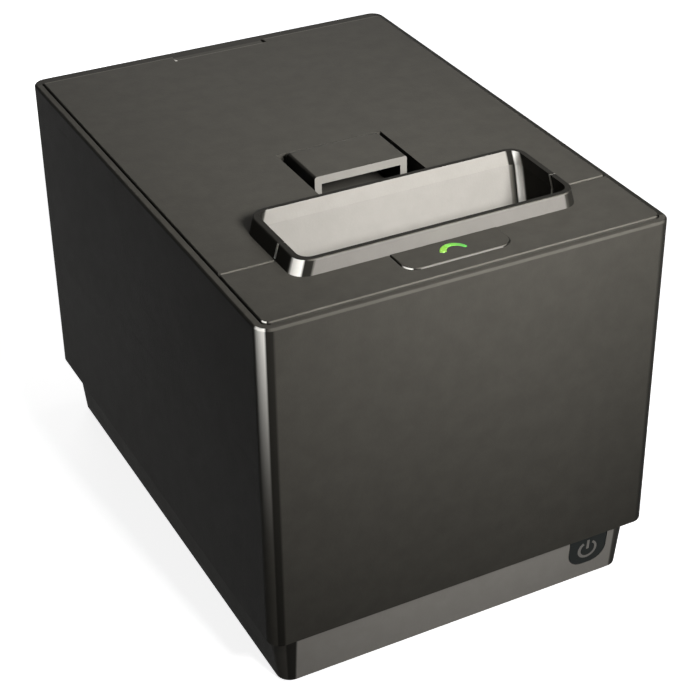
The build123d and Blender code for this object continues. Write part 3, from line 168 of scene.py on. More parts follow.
# ---------------------------------------------------------------- shared surface effects
def build_moulded_grain():
    """Spark-eroded mould texture: fine pits, a soft mottle and a slow drift of tone."""
    group, given, made = new_group(
        "moulded grain",
        [("Pit Scale", FLOAT, 2600.0), ("Mottle Scale", FLOAT, 140.0)],
        [("Height", FLOAT), ("Mottle", FLOAT), ("Drift", FLOAT)],
    )
    place = group.nodes.new("ShaderNodeTexCoord")
    pits = add_node(group, "ShaderNodeTexNoise", Detail=3.0, Roughness=0.62)
    cells = add_node(group, "ShaderNodeTexVoronoi", Randomness=1.0)
    mottle = add_node(group, "ShaderNodeTexNoise", Detail=4.0, Roughness=0.6)
    drift = add_node(group, "ShaderNodeTexNoise", Scale=14.0, Detail=2.0, Roughness=0.5)
    for node in (pits, cells, mottle, drift):
        connect(group, place.outputs["Object"], node.inputs["Vector"])
    connect(group, given.outputs["Pit Scale"], pits.inputs["Scale"])
    connect(group, times(group, given.outputs["Pit Scale"], 0.55), cells.inputs["Scale"])
    connect(group, given.outputs["Mottle Scale"], mottle.inputs["Scale"])
    height = plus(group, pits.outputs[0], times(group, cells.outputs[0], 0.5))
    connect(group, height, made.inputs["Height"])
    connect(group, mottle.outputs[0], made.inputs["Mottle"])
    connect(group, drift.outputs[0], made.inputs["Drift"])
    return group


def build_edge_wear():
    """Mask of worn convex edges, broken up by noise."""
    group, given, made = new_group(
        "edge wear", [("Width", FLOAT, 0.0006), ("Amount", FLOAT, 1.0)], [("Mask", FLOAT)]
    )
    bevel = add_node(group, "ShaderNodeBevel", samples=4, Radius=given.outputs["Width"])
    surface = group.nodes.new("ShaderNodeNewGeometry")
    dot = add_node(group, "ShaderNodeVectorMath", operation="DOT_PRODUCT")
    connect(group, bevel.outputs[0], dot.inputs[0])
    connect(group, surface.outputs["Normal"], dot.inputs[1])
    bend = remap(group, dot.outputs["Value"], 0.98, 0.80, 0.0, 1.0)
    place = group.nodes.new("ShaderNodeTexCoord").outputs["Object"]
    patches = add_node(group, "ShaderNodeTexNoise", Vector=place, Scale=220.0, Detail=4.0, Roughness=0.65)
    broken = remap(group, patches.outputs[0], 0.42, 0.62, 0.25, 1.0)
    worn = times(group, bend, broken)
    mask = maths(group, "MULTIPLY", worn, given.outputs["Amount"], clamp=True)
    connect(group, mask, made.inputs["Mask"])
    return group


def build_handling_marks():
    """Faint smears and hair scratches that change the gloss of a handled surface."""
    group, given, made = new_group(
        "handling marks", [("Smear", FLOAT, 0.06), ("Scratch", FLOAT, 0.04)], [("Gloss Change", FLOAT)]
    )
    place = group.nodes.new("ShaderNodeTexCoord").outputs["Object"]
    smears = add_node(
        group, "ShaderNodeTexNoise", Vector=place, Scale=32.0, Detail=5.0, Roughness=0.55, Distortion=0.8
    )
    slant, stretch = (0.3, 0.2, 0.7), (900.0, 26.0, 500.0)
    drawn_out = add_node(group, "ShaderNodeMapping", Vector=place, Rotation=slant, Scale=stretch).outputs[0]
    lines = add_node(group, "ShaderNodeTexNoise", Vector=drawn_out, Scale=1.0, Detail=2.0, Roughness=0.4)
    smeared = maths(group, "SUBTRACT", smears.outputs[0], 0.5)
    soft = times(group, smeared, given.outputs["Smear"])
    scratched = remap(group, lines.outputs[0], 0.66, 0.74, 0.0, 1.0)
    thin = times(group, scratched, given.outputs["Scratch"])
    connect(group, plus(group, soft, thin), made.inputs["Gloss Change"])
    return group


def build_rolled_lines():
    """Long fine lines of rolled or ground metal, stretched along one axis."""
    group, given, made = new_group(
        "rolled lines", [("Stretch", VECTOR, ALONG_X)], [("Lines", FLOAT), ("Cloud", FLOAT)]
    )
    place = group.nodes.new("ShaderNodeTexCoord").outputs["Object"]
    drawn_out = add_node(group, "ShaderNodeMapping", Vector=place, Scale=given.outputs["Stretch"]).outputs[0]
    lines = add_node(group, "ShaderNodeTexNoise", Vector=drawn_out, Scale=1.0, Detail=4.0, Roughness=0.7)
    cloud = add_node(group, "ShaderNodeTexNoise", Vector=place, Scale=60.0, Detail=3.0, Roughness=0.5)
    connect(group, lines.outputs[0], made.inputs["Lines"])
    connect(group, cloud.outputs[0], made.inputs["Cloud"])
    return group


def pulse(tree, value, low_out, low_in, high_in, high_out):
    """1 between two limits with soft shoulders, 0 outside."""
    rise = remap(tree, value, low_out, low_in, 0.0, 1.0)
    fall = remap(tree, value, high_in, high_out, 1.0, 0.0)
    return times(tree, rise, fall)


def build_painted_light_facing():
    """Masks of which way a moulded wall faces, for painting light and shade into colour: lit front walls and
    front edges, corners for a painted glint, side walls for painted shade.

    turn is the angle of the wall about the upright: 0 faces front, a quarter turn faces left.
    """
    group, given, made = new_group(
        "wall facing",
        [("Strength", FLOAT, 1.0)],
        [("Front", FLOAT), ("Edge", FLOAT), ("Glint", FLOAT), ("Corner", FLOAT), ("Shade", FLOAT)],
    )
    place = group.nodes.new("ShaderNodeTexCoord")
    right, back, up = split(group, place.outputs["Normal"])
    left = times(group, right, -1.0)
    front = times(group, back, -1.0)
    turn = maths(group, "ARCTAN2", left, front)
    tilt = maths(group, "ABSOLUTE", up)
    upright = remap(group, tilt, 0.45, 0.65, 1.0, 0.0)
    to_front = pulse(group, turn, -0.14, -0.06, 0.06, 0.14)
    connect(group, times(group, to_front, upright), made.inputs["Front"])
    edge_turn = pulse(group, turn, -0.5, -0.2, 0.2, 0.5)
    bent = pulse(group, up, 0.12, 0.25, 0.90, 0.97)
    rounded = times(group, bent, given.outputs["Strength"])
    connect(group, times(group, edge_turn, rounded), made.inputs["Edge"])
    to_corner = pulse(group, turn, 0.56, 0.68, 1.20, 1.40)
    connect(group, times(group, to_corner, upright), made.inputs["Glint"])
    connect(group, times(group, to_corner, rounded), made.inputs["Corner"])
    dark_left = pulse(group, turn, 0.08, 0.16, 0.54, 0.64)
    dark_right = pulse(group, turn, -2.5, -2.0, -0.35, -0.10)
    sides = maths(group, "MAXIMUM", dark_left, dark_right)
    sides = maths(group, "MAXIMUM", sides, pulse(group, turn, 1.40, 1.50, 2.0, 2.5))
    not_flat = remap(group, tilt, 0.90, 0.985, 1.0, 0.0)
    connect(group, times(group, sides, not_flat), made.inputs["Shade"])
    return group


def build_zone():
    """1 inside a box given by two corners, with a soft border, on a piece's own coordinates."""
    group, given, made = new_group(
        "zone",
        [
            ("Low Corner", VECTOR, (0.0, 0.0, 0.0)),
            ("High Corner", VECTOR, (1.0, 1.0, 1.0)),
            ("Border", FLOAT, 0.0003),
        ],
        [("Mask", FLOAT)],
    )
    place = group.nodes.new("ShaderNodeTexCoord").outputs["Object"]
    past_low = vector_maths(group, "SUBTRACT", place, given.outputs["Low Corner"])
    to_high = vector_maths(group, "SUBTRACT", given.outputs["High Corner"], place)
    x, y, z = split(group, vector_maths(group, "MINIMUM", past_low, to_high))
    inside = maths(group, "MINIMUM", maths(group, "MINIMUM", x, y), z)
    mask = maths(group, "DIVIDE", inside, given.outputs["Border"], clamp=True)
    connect(group, mask, made.inputs["Mask"])
    return group


MOULDED_GRAIN = build_moulded_grain()
PAINTED_LIGHT_FACING = build_painted_light_facing()
ZONE = build_zone()
EDGE_WEAR = build_edge_wear()
HANDLING_MARKS = build_handling_marks()
ROLLED_LINES = build_rolled_lines()


# ---------------------------------------------------------------- materials
def new_material(name):
    """An empty node material with its surface shader and output."""
    material = bpy.data.materials.new(name)
    material.use_nodes = True
    tree = material.node_tree
    tree.nodes.clear()
    shader = tree.nodes.new("ShaderNodeBsdfPrincipled")
    output = tree.nodes.new("ShaderNodeOutputMaterial")
    connect(tree, shader.outputs[0], output.inputs["Surface"])
    return material, tree, shader


SATIN_GLOSS = 0.006  # the case plastic hardly mirrors what stands around it
SHADE = 0.35  # how dark a shaded wall is beside a lit one


def set_roughness(tree, shader, polish, marks):
    """Feed a roughness, changed a little by handling marks, to the shader."""
    changed = maths(tree, "ADD", polish, marks.outputs["Gloss Change"], clamp=True)
    connect(tree, changed, shader.inputs["Roughness"])


def bump(tree, shader, height, distance):
    """Feed a height to the shader's normal."""
    node = add_node(tree, "ShaderNodeBump", Distance=distance, Strength=1.0, Height=height)
    connect(tree, node.outputs[0], shader.inputs["Normal"])


def moulded_colour(tree, grain, colour, mottle, wear, wear_colour):
    """A moulded plastic's colour: drift and mottle of tone, then paler worn edges."""
    drifted = mix_colours(
        tree,
        remap(tree, grain.outputs["Drift"], 0.3, 0.7, 0.0, 1.0),
        tinted(colour, 1 - mottle * 0.5),
        tinted(colour, 1 + mottle * 0.5),
    )
    spotted = mix_colours(
        tree,
        remap(tree, grain.outputs["Mottle"], 0.35, 0.65, 0.0, 1.0),
        [1 - mottle] * 3,
        [1 + mottle] * 3,
    )
    toned = mix_colours(tree, 1.0, drifted, spotted, "MULTIPLY")
    mask = place_group(tree, EDGE_WEAR, amount=wear)
    return mix_colours(tree, mask.outputs["Mask"], toned, wear_colour)


def moulded_plastic(name, colour, roughness, grain=1.0, pit_scale=2600.0, mottle=0.05, wear=0.35, gloss=0.3):
    """Injection-moulded plastic with a fine mould texture."""
    material, tree, shader = new_material(name)
    texture = place_group(tree, MOULDED_GRAIN, pit_scale=pit_scale)
    marks = place_group(tree, HANDLING_MARKS)
    paler = [c * 1.5 + 0.015 for c in colour]
    connect(tree, moulded_colour(tree, texture, colour, mottle, wear, paler), shader.inputs["Base Color"])
    polish = plus(tree, times(tree, texture.outputs["Mottle"], 0.12), roughness - 0.06)
    set_roughness(tree, shader, polish, marks)
    shader.inputs["Specular IOR Level"].default_value = gloss
    bump(tree, shader, texture.outputs["Height"], 0.00004 * grain)
    return material


def zone(tree, low, high, border=0.0003):
    """Mask of a box on a piece's own coordinates."""
    return place_group(tree, ZONE, low_corner=low, high_corner=high, border=border).outputs["Mask"]


def satin_case(name, colour, roughness, pale=(), glints=(), shades=(), edge_highlights=(), spots=(), lines=2.0):
    """Case plastic with light and shade painted into its colour by which way each wall faces: walls that
    face the front are painted pale as if lit, walls that face the sides are painted in shade.

    pale is a list of (low, high, colour) boxes whose front walls get a painted pale reflection, glints a
    list of (low, high, colour, fades) boxes whose rounded corners get a painted glint, shades a list of
    (low, high, amount) boxes of painted shade, rubbed a list of (low, high, colour) boxes painted with a
    pale highlight line, and spots a list of (low, high, colour) boxes whose rounded top corners get a
    painted highlight. lines says how much paler the rounded front edges are painted, as a highlight.
    """
    material, tree, shader = new_material(name)
    texture = place_group(tree, MOULDED_GRAIN, pit_scale=2200.0)
    marks = place_group(tree, HANDLING_MARKS, smear=0.05, scratch=0.03)
    facing = place_group(tree, PAINTED_LIGHT_FACING)
    paler = [c * 1.3 + 0.01 for c in colour]
    tone = moulded_colour(tree, texture, colour, 0.06, 0.25, paler)
    # painted shade: walls facing the sides, and the shade boxes, get a darker copy of the colour
    dark = tinted(colour, SHADE)
    tone = mix_colours(tree, facing.outputs["Shade"], tone, dark)
    for low, high, amount in shades:
        tone = mix_colours(tree, times(tree, zone(tree, low, high), amount), tone, dark)
    # painted highlight: rounded front edges made paler
    if lines:
        tone = mix_colours(tree, facing.outputs["Edge"], tone, tinted(colour, lines))
    # painted highlight lines, laid in boxes along edges and seams
    for low, high, light in edge_highlights:
        tone = mix_colours(tree, zone(tree, low, high, 0.0001), tone, light)
    # painted reflection of the front light: front-facing walls in these boxes made pale
    for low, high, light in pale:
        reach = times(tree, facing.outputs["Front"], zone(tree, low, high, 0.0001))
        speckle = remap(tree, texture.outputs["Mottle"], 0.35, 0.65, 0.0, 0.06)
        tone = mix_colours(tree, reach, tone, mix_colours(tree, speckle, light, dark))
    # painted highlight on rounded top corners
    for low, high, light in spots:
        reach = times(tree, facing.outputs["Corner"], zone(tree, low, high))
        tone = mix_colours(tree, reach, tone, light)
    # painted glint on rounded upright corners, fading towards the bottom where fades is given
    for low, high, light, fades in glints:
        reach = times(tree, facing.outputs["Glint"], zone(tree, low, high))
        if fades:
            place = tree.nodes.new("ShaderNodeTexCoord")
            height = split(tree, place.outputs["Object"])[2]
            fade = remap(tree, height, fades[0], fades[1], 0.0, 1.0)
            reach = times(tree, reach, maths(tree, "POWER", fade, 2.6))
        tone = mix_colours(tree, reach, tone, light)
    connect(tree, tone, shader.inputs["Base Color"])
    polish = plus(tree, times(tree, texture.outputs["Mottle"], 0.10), roughness - 0.05)
    set_roughness(tree, shader, polish, marks)
    shader.inputs["Specular IOR Level"].default_value = SATIN_GLOSS
    bump(tree, shader, texture.outputs["Height"], 0.00003)
    return material


def rolled_metal(name, colour, roughness, stretch, line_depth=0.00001, spread=0.12, wear=0.25):
    """Rolled, ground or plated metal with long fine lines."""
    material, tree, shader = new_material(name)
    metal = place_group(tree, ROLLED_LINES, stretch=stretch)
    marks = place_group(tree, HANDLING_MARKS, smear=0.12, scratch=0.08)
    tone = mix_colours(
        tree,
        remap(tree, metal.outputs["Cloud"], 0.35, 0.65, 0.0, 1.0),
        tinted(colour, 0.88),
        [min(1.0, c * 1.08) for c in colour],
    )
    mask = place_group(tree, EDGE_WEAR, amount=wear, width=0.0004)
    bright = [min(1.0, c * 1.25) for c in colour]
    connect(tree, mix_colours(tree, mask.outputs["Mask"], tone, bright), shader.inputs["Base Color"])
    lined = times(tree, metal.outputs["Lines"], spread)
    set_roughness(tree, shader, plus(tree, lined, roughness - spread / 2), marks)
    shader.inputs["Metallic"].default_value = 1.0
    bump(tree, shader, metal.outputs["Lines"], line_depth)
    return material


def soft_rubber(name, colour):
    """Rubber: deep matte grain with a dusty bloom on its edges."""
    material, tree, shader = new_material(name)
    texture = place_group(tree, MOULDED_GRAIN, pit_scale=1800.0, mottle_scale=260.0)
    dusty = [c * 2.2 + 0.02 for c in colour]
    connect(tree, moulded_colour(tree, texture, colour, 0.12, 0.5, dusty), shader.inputs["Base Color"])
    gloss = plus(tree, times(tree, texture.outputs["Mottle"], 0.15), 0.72)
    connect(tree, gloss, shader.inputs["Roughness"])
    shader.inputs["Specular IOR Level"].default_value = 0.3
    bump(tree, shader, texture.outputs["Height"], 0.00005)
    return material


def solder_mask(name):
    """Circuit board: green lacquer over copper tracks and pads."""
    material, tree, shader = new_material(name)
    place = tree.nodes.new("ShaderNodeTexCoord").outputs["Object"]
    texture = place_group(tree, MOULDED_GRAIN, pit_scale=1500.0)
    tracks = add_node(
        tree, "ShaderNodeTexVoronoi", distance="CHEBYCHEV", Vector=place, Scale=150.0, Randomness=0.35
    )
    edges = add_node(tree, "ShaderNodeTexBrick", Vector=place, Scale=95.0, Mortar_Size=0.02, Bias=-0.2)
    copper = remap(tree, edges.outputs["Fac"], 0.2, 0.8, 0.0, 1.0)
    pads = remap(tree, tracks.outputs["Distance"], 0.16, 0.13, 0.0, 1.0)
    lacquer = mix_colours(tree, copper, (0.012, 0.085, 0.030), (0.025, 0.150, 0.055))
    mottled = remap(tree, texture.outputs["Mottle"], 0.35, 0.65, 0.0, 0.25)
    drift = mix_colours(tree, mottled, lacquer, (0.01, 0.05, 0.02))
    connect(tree, mix_colours(tree, pads, drift, (0.50, 0.46, 0.38)), shader.inputs["Base Color"])
    connect(tree, plus(tree, times(tree, texture.outputs["Mottle"], 0.15), 0.22), shader.inputs["Roughness"])
    connect(tree, times(tree, pads, 0.8), shader.inputs["Metallic"])
    bump(tree, shader, plus(tree, copper, pads), 0.00003)
    return material


def light_guide(name):
    """Clear green plastic that carries the lamp's light to the key's face."""
    material, tree, shader = new_material(name)
    place = tree.nodes.new("ShaderNodeTexCoord").outputs["Object"]
    low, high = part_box("status_light")
    across = remap(tree, split(tree, place)[0], low.x, high.x, 0.0, 1.0)
    cloud = add_node(tree, "ShaderNodeTexNoise", Vector=place, Scale=420.0, Detail=2.0)
    body = mix_colours(tree, across, (0.24, 0.46, 0.03), (0.07, 0.34, 0.06))
    glow = mix_colours(tree, remap(tree, cloud.outputs[0], 0.3, 0.7, 0.0, 0.35), body, (0.10, 0.55, 0.05))
    connect(tree, glow, shader.inputs["Base Color"])
    connect(tree, glow, shader.inputs["Emission Color"])
    shader.inputs["Emission Strength"].default_value = 0.08
    connect(tree, remap(tree, cloud.outputs[0], 0.3, 0.7, 0.18, 0.30), shader.inputs["Roughness"])
    shader.inputs["Coat Weight"].default_value = 0.4
    return material


# ---------------------------------------------------------------- finishes of the CAD pieces
CASE = (0.054, 0.051, 0.044)
BASE = (0.070, 0.066, 0.058)
KEY_BLACK = (0.013, 0.016, 0.015)
INNER_BLACK = (0.022, 0.022, 0.023)
ALL_WAYS = (260.0, 260.0, 260.0)

FINISHES = {
    "case_dark": satin_case("case_plastic", CASE, 0.44, lines=0),
    "base_grey": moulded_plastic("base_plastic", BASE, 0.50),
    "key_black": moulded_plastic("key_plastic", KEY_BLACK, 0.32, grain=0.4, mottle=0.08, gloss=0.04),
    "inner_black": moulded_plastic("inner_plastic", INNER_BLACK, 0.42, pit_scale=1900.0, mottle=0.10),
    "light_green": light_guide("green_light_guide"),
    "rubber_black": soft_rubber("black_rubber", (0.016, 0.016, 0.016)),
    "steel_plate": rolled_metal("zinc_plate", (0.50, 0.51, 0.52), 0.36, ALL_WAYS, spread=0.16),
    "steel_bright": rolled_metal("ground_steel", (0.58, 0.58, 0.59), 0.20, ALONG_X),
    "screw_steel": rolled_metal("screw_plate", (0.44, 0.44, 0.45), 0.30, ALL_WAYS),
    "alloy": rolled_metal("bare_alloy", (0.62, 0.63, 0.65), 0.38, ALONG_X),
    "head_ceramic": moulded_plastic("glazed_ceramic", (0.52, 0.49, 0.42), 0.16, grain=0.15, wear=0.1),
    "gear_white": moulded_plastic("acetal", (0.66, 0.65, 0.60), 0.40, grain=0.5, wear=0.15),
    "board_green": solder_mask("solder_mask"),
    "chip_black": moulded_plastic("chip_mould", (0.014, 0.014, 0.016), 0.55, pit_scale=4200.0),
    "can_silver": rolled_metal("capacitor_can", (0.60, 0.61, 0.63), 0.28, ALL_WAYS),
    "port_black": moulded_plastic("socket_plastic", (0.018, 0.018, 0.020), 0.36, grain=0.5),
    "motor_steel": rolled_metal("motor_can", (0.30, 0.31, 0.33), 0.34, ALONG_X),
    "brass_bush": rolled_metal("sintered_brass", (0.55, 0.38, 0.14), 0.40, ALL_WAYS),
}


def grown(node, low_by, high_by):
    """A node's box, each corner moved by an offset."""
    low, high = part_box(node)
    return tuple(Vector(low) + Vector(low_by)), tuple(Vector(high) + Vector(high_by))


# The case's painted light and shade: pale painted reflections on front walls, painted glints and highlight
# lines, and its sizes. Lengths are in metres; colours are linear.
PAINTED_LIT_WALL = (0.30, 0.285, 0.26)
PAINTED_LIT_EDGE = (0.19, 0.18, 0.165)
PAINTED_LIT_BASE = (0.30, 0.285, 0.26)
PAINTED_LIT_LEVER = (0.22, 0.21, 0.19)
SEAM_HIGHLIGHT = (0.50, 0.48, 0.44)
GLINT = (0.85, 0.83, 0.78)
PAST = 0.001  # how far a zone reaches past the piece it colours
COLLAR_TALL = 0.0065
COLLAR_HALF = 0.06
CHUTE_HALF = 0.0495
CHUTE_DEEP = 0.016
RIM = 0.0018
TAB_HALF = 0.0186


def dress_case():
    """Light and shade painted on the case pieces: a painted pale reflection on the chute wall and front
    walls, painted highlights on edges, seams and corners, and painted shade on rims.
    """
    low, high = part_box("outer_casing")
    seam, lid_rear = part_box("lid")[0].y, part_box("lid")[1].y
    collar_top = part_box("front_panel")[1].z
    collar_low, chute_high = collar_top - COLLAR_TALL, collar_top + PAST
    rim_low, chute_low = chute_high - RIM, collar_low - CHUTE_DEEP
    # The chute's rear wall is painted pale where it faces the front, as a painted reflection of the front
    # lamp, in a darker tone for its lower well and a paler one for its mouth.
    wall_near, wall_far = seam + 0.010, seam + 0.0235
    well = ((-CHUTE_HALF, wall_near, chute_low), (CHUTE_HALF, wall_far, collar_low + 0.0013))
    mouth = ((-CHUTE_HALF, wall_near, collar_low + 0.0010), (CHUTE_HALF, wall_far, chute_high))

    # Painted highlight down the casing's front-left corner, fading towards the bottom, and painted shade on
    # its right and rear rims.
    left_low = (low.x - PAST, low.y - PAST)
    left_high = (low.x + 0.02, low.y + 0.02, high.z + PAST)
    right_rim = (
        (high.x - 0.0035, low.y + 0.004, high.z - 0.002),
        (high.x + PAST, high.y + PAST, high.z + PAST),
    )
    back_rim = ((low.x, lid_rear + 0.0001, high.z - PAST), (high.x, high.y, high.z + PAST))

    def lid_edge_highlight(x_low, x_high, forward=0.0):
        """A painted highlight line along the lid's rear edge between two places; forward is how far the tab
        cuts it back.
        """
        return (
            (x_low, lid_rear - forward - 0.0010, high.z),
            (x_high, lid_rear - forward + 0.0003, high.z + 0.002),
            tinted(CASE, 1.7),
        )

    def seam_highlight(x_low, x_high, z_low):
        """A painted highlight line along the lid's front edge, at the seam, on one side of the collar."""
        return (x_low, seam - 0.0002, z_low), (x_high, seam + 0.0008, chute_high - 0.0012), SEAM_HIGHLIGHT

    # painted glint on the corner where the tab meets the lid's rear edge
    tab_corner_glint = (
        (-TAB_HALF - 0.0006, lid_rear - 0.0046, high.z),
        (-TAB_HALF + 0.0003, lid_rear - 0.0030, high.z + 0.002),
        SEAM_HIGHLIGHT,
    )
    finishes = {
        "outer_casing": satin_case(
            "casing_plastic",
            CASE,
            0.42,
            glints=[((*left_low, low.z), left_high, GLINT, (0.045, high.z))],
            spots=[((*left_low, high.z - 0.004), left_high, GLINT)],
            shades=[(*right_rim, 1.0), (*back_rim, 0.6)],
            lines=1.5,
        ),
        "lid": satin_case(
            "lid_plastic",
            CASE,
            0.42,
            pale=[(*well, tinted(PAINTED_LIT_WALL, 0.84)), (*mouth, tinted(PAINTED_LIT_WALL, 1.03))],
            # painted shade on the collar's rim top
            shades=[((-COLLAR_HALF, seam - PAST, rim_low), (COLLAR_HALF, seam + 0.03, chute_high), 1.0)],
            # painted highlight lines along the lid's rear edge, tab and seams
            edge_highlights=[
                lid_edge_highlight(-0.08, -TAB_HALF),
                lid_edge_highlight(TAB_HALF, 0.08),
                lid_edge_highlight(-TAB_HALF, TAB_HALF, 0.0033),
                tab_corner_glint,
                seam_highlight(-COLLAR_HALF, -CHUTE_HALF, collar_low + 0.0014),
                seam_highlight(0.045, CHUTE_HALF + 0.0012, collar_low - 0.02),
            ],
            # painted glint in the chute's rear right inner corner
            glints=[
                (
                    (0.0, wall_near, chute_low),
                    (CHUTE_HALF + 0.003, wall_far + PAST, chute_high),
                    GLINT,
                    None,
                )
            ],
        ),
        "front_panel": satin_case(
            "panel_plastic",
            CASE,
            0.42,
            # painted reflection on the collar's front face, painted shade on its rim top, painted glints on
            # its left corners
            pale=[((-0.055, low.y, collar_low + 0.0008), (0.055, low.y + 0.0222, chute_high), PAINTED_LIT_EDGE)],
            shades=[((-COLLAR_HALF, low.y + 0.0205, rim_low), (COLLAR_HALF, seam + PAST, chute_high), 1.0)],
            spots=[((low.x, low.y, high.z - PAST), (low.x + 0.012, low.y + 0.012, high.z + 0.002), GLINT)],
            glints=[((-0.055, low.y, collar_low), (0.0, seam, chute_high), GLINT, None)],
        ),
        "release_lever": satin_case(
            "lever_plastic",
            CASE,
            0.42,
            # painted reflection on the lever's front edges
            pale=[(*grown("release_lever", (-PAST, -PAST, -PAST), (PAST, -0.018, PAST)), PAINTED_LIT_LEVER)],
        ),
        "feed_button": satin_case(
            "feed_key_plastic",
            tinted(CASE, 0.92),
            0.40,
            # painted reflection on the feed key's front edge and a painted glint on its left corner
            pale=[(*grown("feed_button", (-PAST, -PAST, 0.0), (PAST, 0.0, PAST)), PAINTED_LIT_EDGE)],
            glints=[(*grown("feed_button", (-PAST, -PAST, 0.0), (-0.015, 0.0, PAST)), GLINT, None)],
        ),
        "base_pan": satin_case(
            "base_pan_plastic",
            BASE,
            0.46,
            # painted reflection on the base's front wall
            pale=[(*grown("base_pan", (-PAST, -PAST, 0.0), (PAST, -0.19, PAST)), PAINTED_LIT_BASE)],
            lines=0,
        ),
    }
    for name, finish in finishes.items():
        for slot in frame["nodes"][name].material_slots:
            slot.material = finish


def dress_nodes():
    """Give every CAD node the finish of its material slot."""
    slots = {entry["node"]: entry["material_slot"] for entry in frame["record"]["subparts"]}
    for name, node in frame["nodes"].items():
        for slot in node.material_slots:
            slot.material = FINISHES[slots[name]]
    dress_case()


dress_nodes()


# ---------------------------------------------------------------- marks and lens of the keys
def new_piece(name, points, faces, material, body):
    """A finished mesh piece at the origin, riding on a body."""
    mesh = bpy.data.meshes.new(name)
    mesh.from_pydata([tuple(point) for point in points], [], faces)
    mesh.validate()
    mesh.update()
    build = bmesh.new()
    build.from_mesh(mesh)
    bmesh.ops.remove_doubles(build, verts=build.verts, dist=1e-7)
    bmesh.ops.recalc_face_normals(build, faces=build.faces)
    build.to_mesh(mesh)
    build.free()
    mesh.materials.append(material)
    piece = bpy.data.objects.new(name, mesh)
    bpy.context.scene.collection.objects.link(piece)
    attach(piece, body)
    return piece


def band(rows):
    """Faces of a closed band through rows of equally many points, with flat ends."""
    size = len(rows[0])
    faces = []
    for row in range(len(rows) - 1):
        for side in range(size):
            turn = (side + 1) % size
            here, there = row * size, (row + 1) * size
            faces.append((here + side, here + turn, there + turn, there + side))
    faces.append(tuple(reversed(range(size))))
    faces.append(tuple(range((len(rows) - 1) * size, len(rows) * size)))
    return faces


def stroke(frame_at, steps, half_width, rise, sink):
    """Cross-sections of a soft-edged stroke; frame_at(t) gives centre, side and outward vectors."""
    rows = []
    for step in range(steps + 1):
        share = step / steps
        centre, side, out = frame_at(share)
        half = half_width(share)
        rows.append(
            [
                centre - side * half - out * sink,
                centre - side * half + out * rise * 0.4,
                centre - side * half * 0.75 + out * rise,
                centre + side * half * 0.75 + out * rise,
                centre + side * half + out * rise * 0.4,
                centre + side * half - out * sink,
            ]
        )
    return rows


def leaning_face(name, behind):
    """Middle and outward direction of a CAD node's front face, from its flat parts before y = behind."""
    node = frame["nodes"][name]
    centre, out, area = Vector(), Vector(), 0.0
    for face in node.data.polygons:
        place = node.matrix_world @ face.center
        if face.normal.y < -0.9 and place.y < behind:
            centre += place * face.area
            out += face.normal * face.area
            area += face.area
    return centre / area, out.normalized()


def build_power_mark():
    """The stand-by mark on the power key: an open ring and a bar, printed on the leaning face."""
    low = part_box("power_button")[0]
    centre, out = leaning_face("power_button", low.y + 0.003)
    side = Vector((1.0, 0.0, 0.0))
    up = out.cross(side).normalized()
    middle = centre + up * ((low.z + 0.0075 - centre.z) / up.z)
    radius = 0.0034

    def ring_at(share):
        angle = math.radians(122.0 + 296.0 * share)
        spoke = side * math.cos(angle) + up * math.sin(angle)
        return middle + spoke * radius, spoke, out

    def bar_at(share):
        return middle + up * (0.0002 + 0.0040 * share), side, out

    points, faces = [], []
    for rows in (
        stroke(ring_at, 40, lambda share: 0.00062 - 0.00018 * share, 0.00006, 0.00004),
        stroke(bar_at, 6, lambda share: 0.00052, 0.00006, 0.00004),
    ):
        start = len(points)
        faces += [tuple(index + start for index in face) for face in band(rows)]
        points += [point for row in rows for point in row]
    print_grey = moulded_plastic(
        "mark_print", (0.16, 0.15, 0.135), 0.5, grain=0.3, pit_scale=3200.0, wear=0.5
    )
    new_piece("power_mark", points, faces, print_grey, "power_button")


def build_status_lens():
    """The feed key's lens: a curved light strip, broad at the left and slim at the right."""
    low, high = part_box("status_light")
    key_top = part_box("feed_button")[1].z
    radius = 0.0040
    middle = Vector(((low.x + high.x) / 2, high.y - radius - 0.00055, key_top))
    out = Vector((0.0, 0.0, 1.0))

    def arc_at(share):
        angle = math.radians(166.0 - 152.0 * share)
        spoke = Vector((math.cos(angle), math.sin(angle), 0.0))
        return middle + spoke * radius, spoke, out

    rows = stroke(arc_at, 36, lambda share: 0.00112 - 0.00042 * share, 0.00012, 0.0003)
    points = [point for row in rows for point in row]
    new_piece("status_lens", points, band(rows), FINISHES["light_green"], "feed_button")


# ---------------------------------------------------------------- pieces made by node trees
def new_shape_tree(name, inputs):
    """A geometry tree with named inputs and one geometry output."""
    tree = bpy.data.node_groups.new(name, "GeometryNodeTree")
    for label, kind, default in inputs:
        socket = tree.interface.new_socket(label, in_out="INPUT", socket_type=kind)
        if default is not None:
            socket.default_value = default
    tree.interface.new_socket("Geometry", in_out="OUTPUT", socket_type="NodeSocketGeometry")
    return tree, tree.nodes.new("NodeGroupInput"), tree.nodes.new("NodeGroupOutput")


def finish_tree(tree, given, made, shape):
    """Realize the instances, set the material and put the result out."""
    real = add_node(tree, "GeometryNodeRealizeInstances", Geometry=shape)
    coat = add_node(
        tree, "GeometryNodeSetMaterial", Geometry=real.outputs[0], Material=given.outputs["Material"]
    )
    connect(tree, coat.outputs[0], made.inputs[0])


def shape_inputs(**sizes):
    """Named inputs of a geometry tree: its points, its sizes and its material."""
    kinds = {int: "NodeSocketInt", float: "NodeSocketFloat"}
    named = [(name.replace("_", " ").title(), kinds[type(value)], value) for name, value in sizes.items()]
    return [("Geometry", "NodeSocketGeometry", None), *named, ("Material", "NodeSocketMaterial", None)]


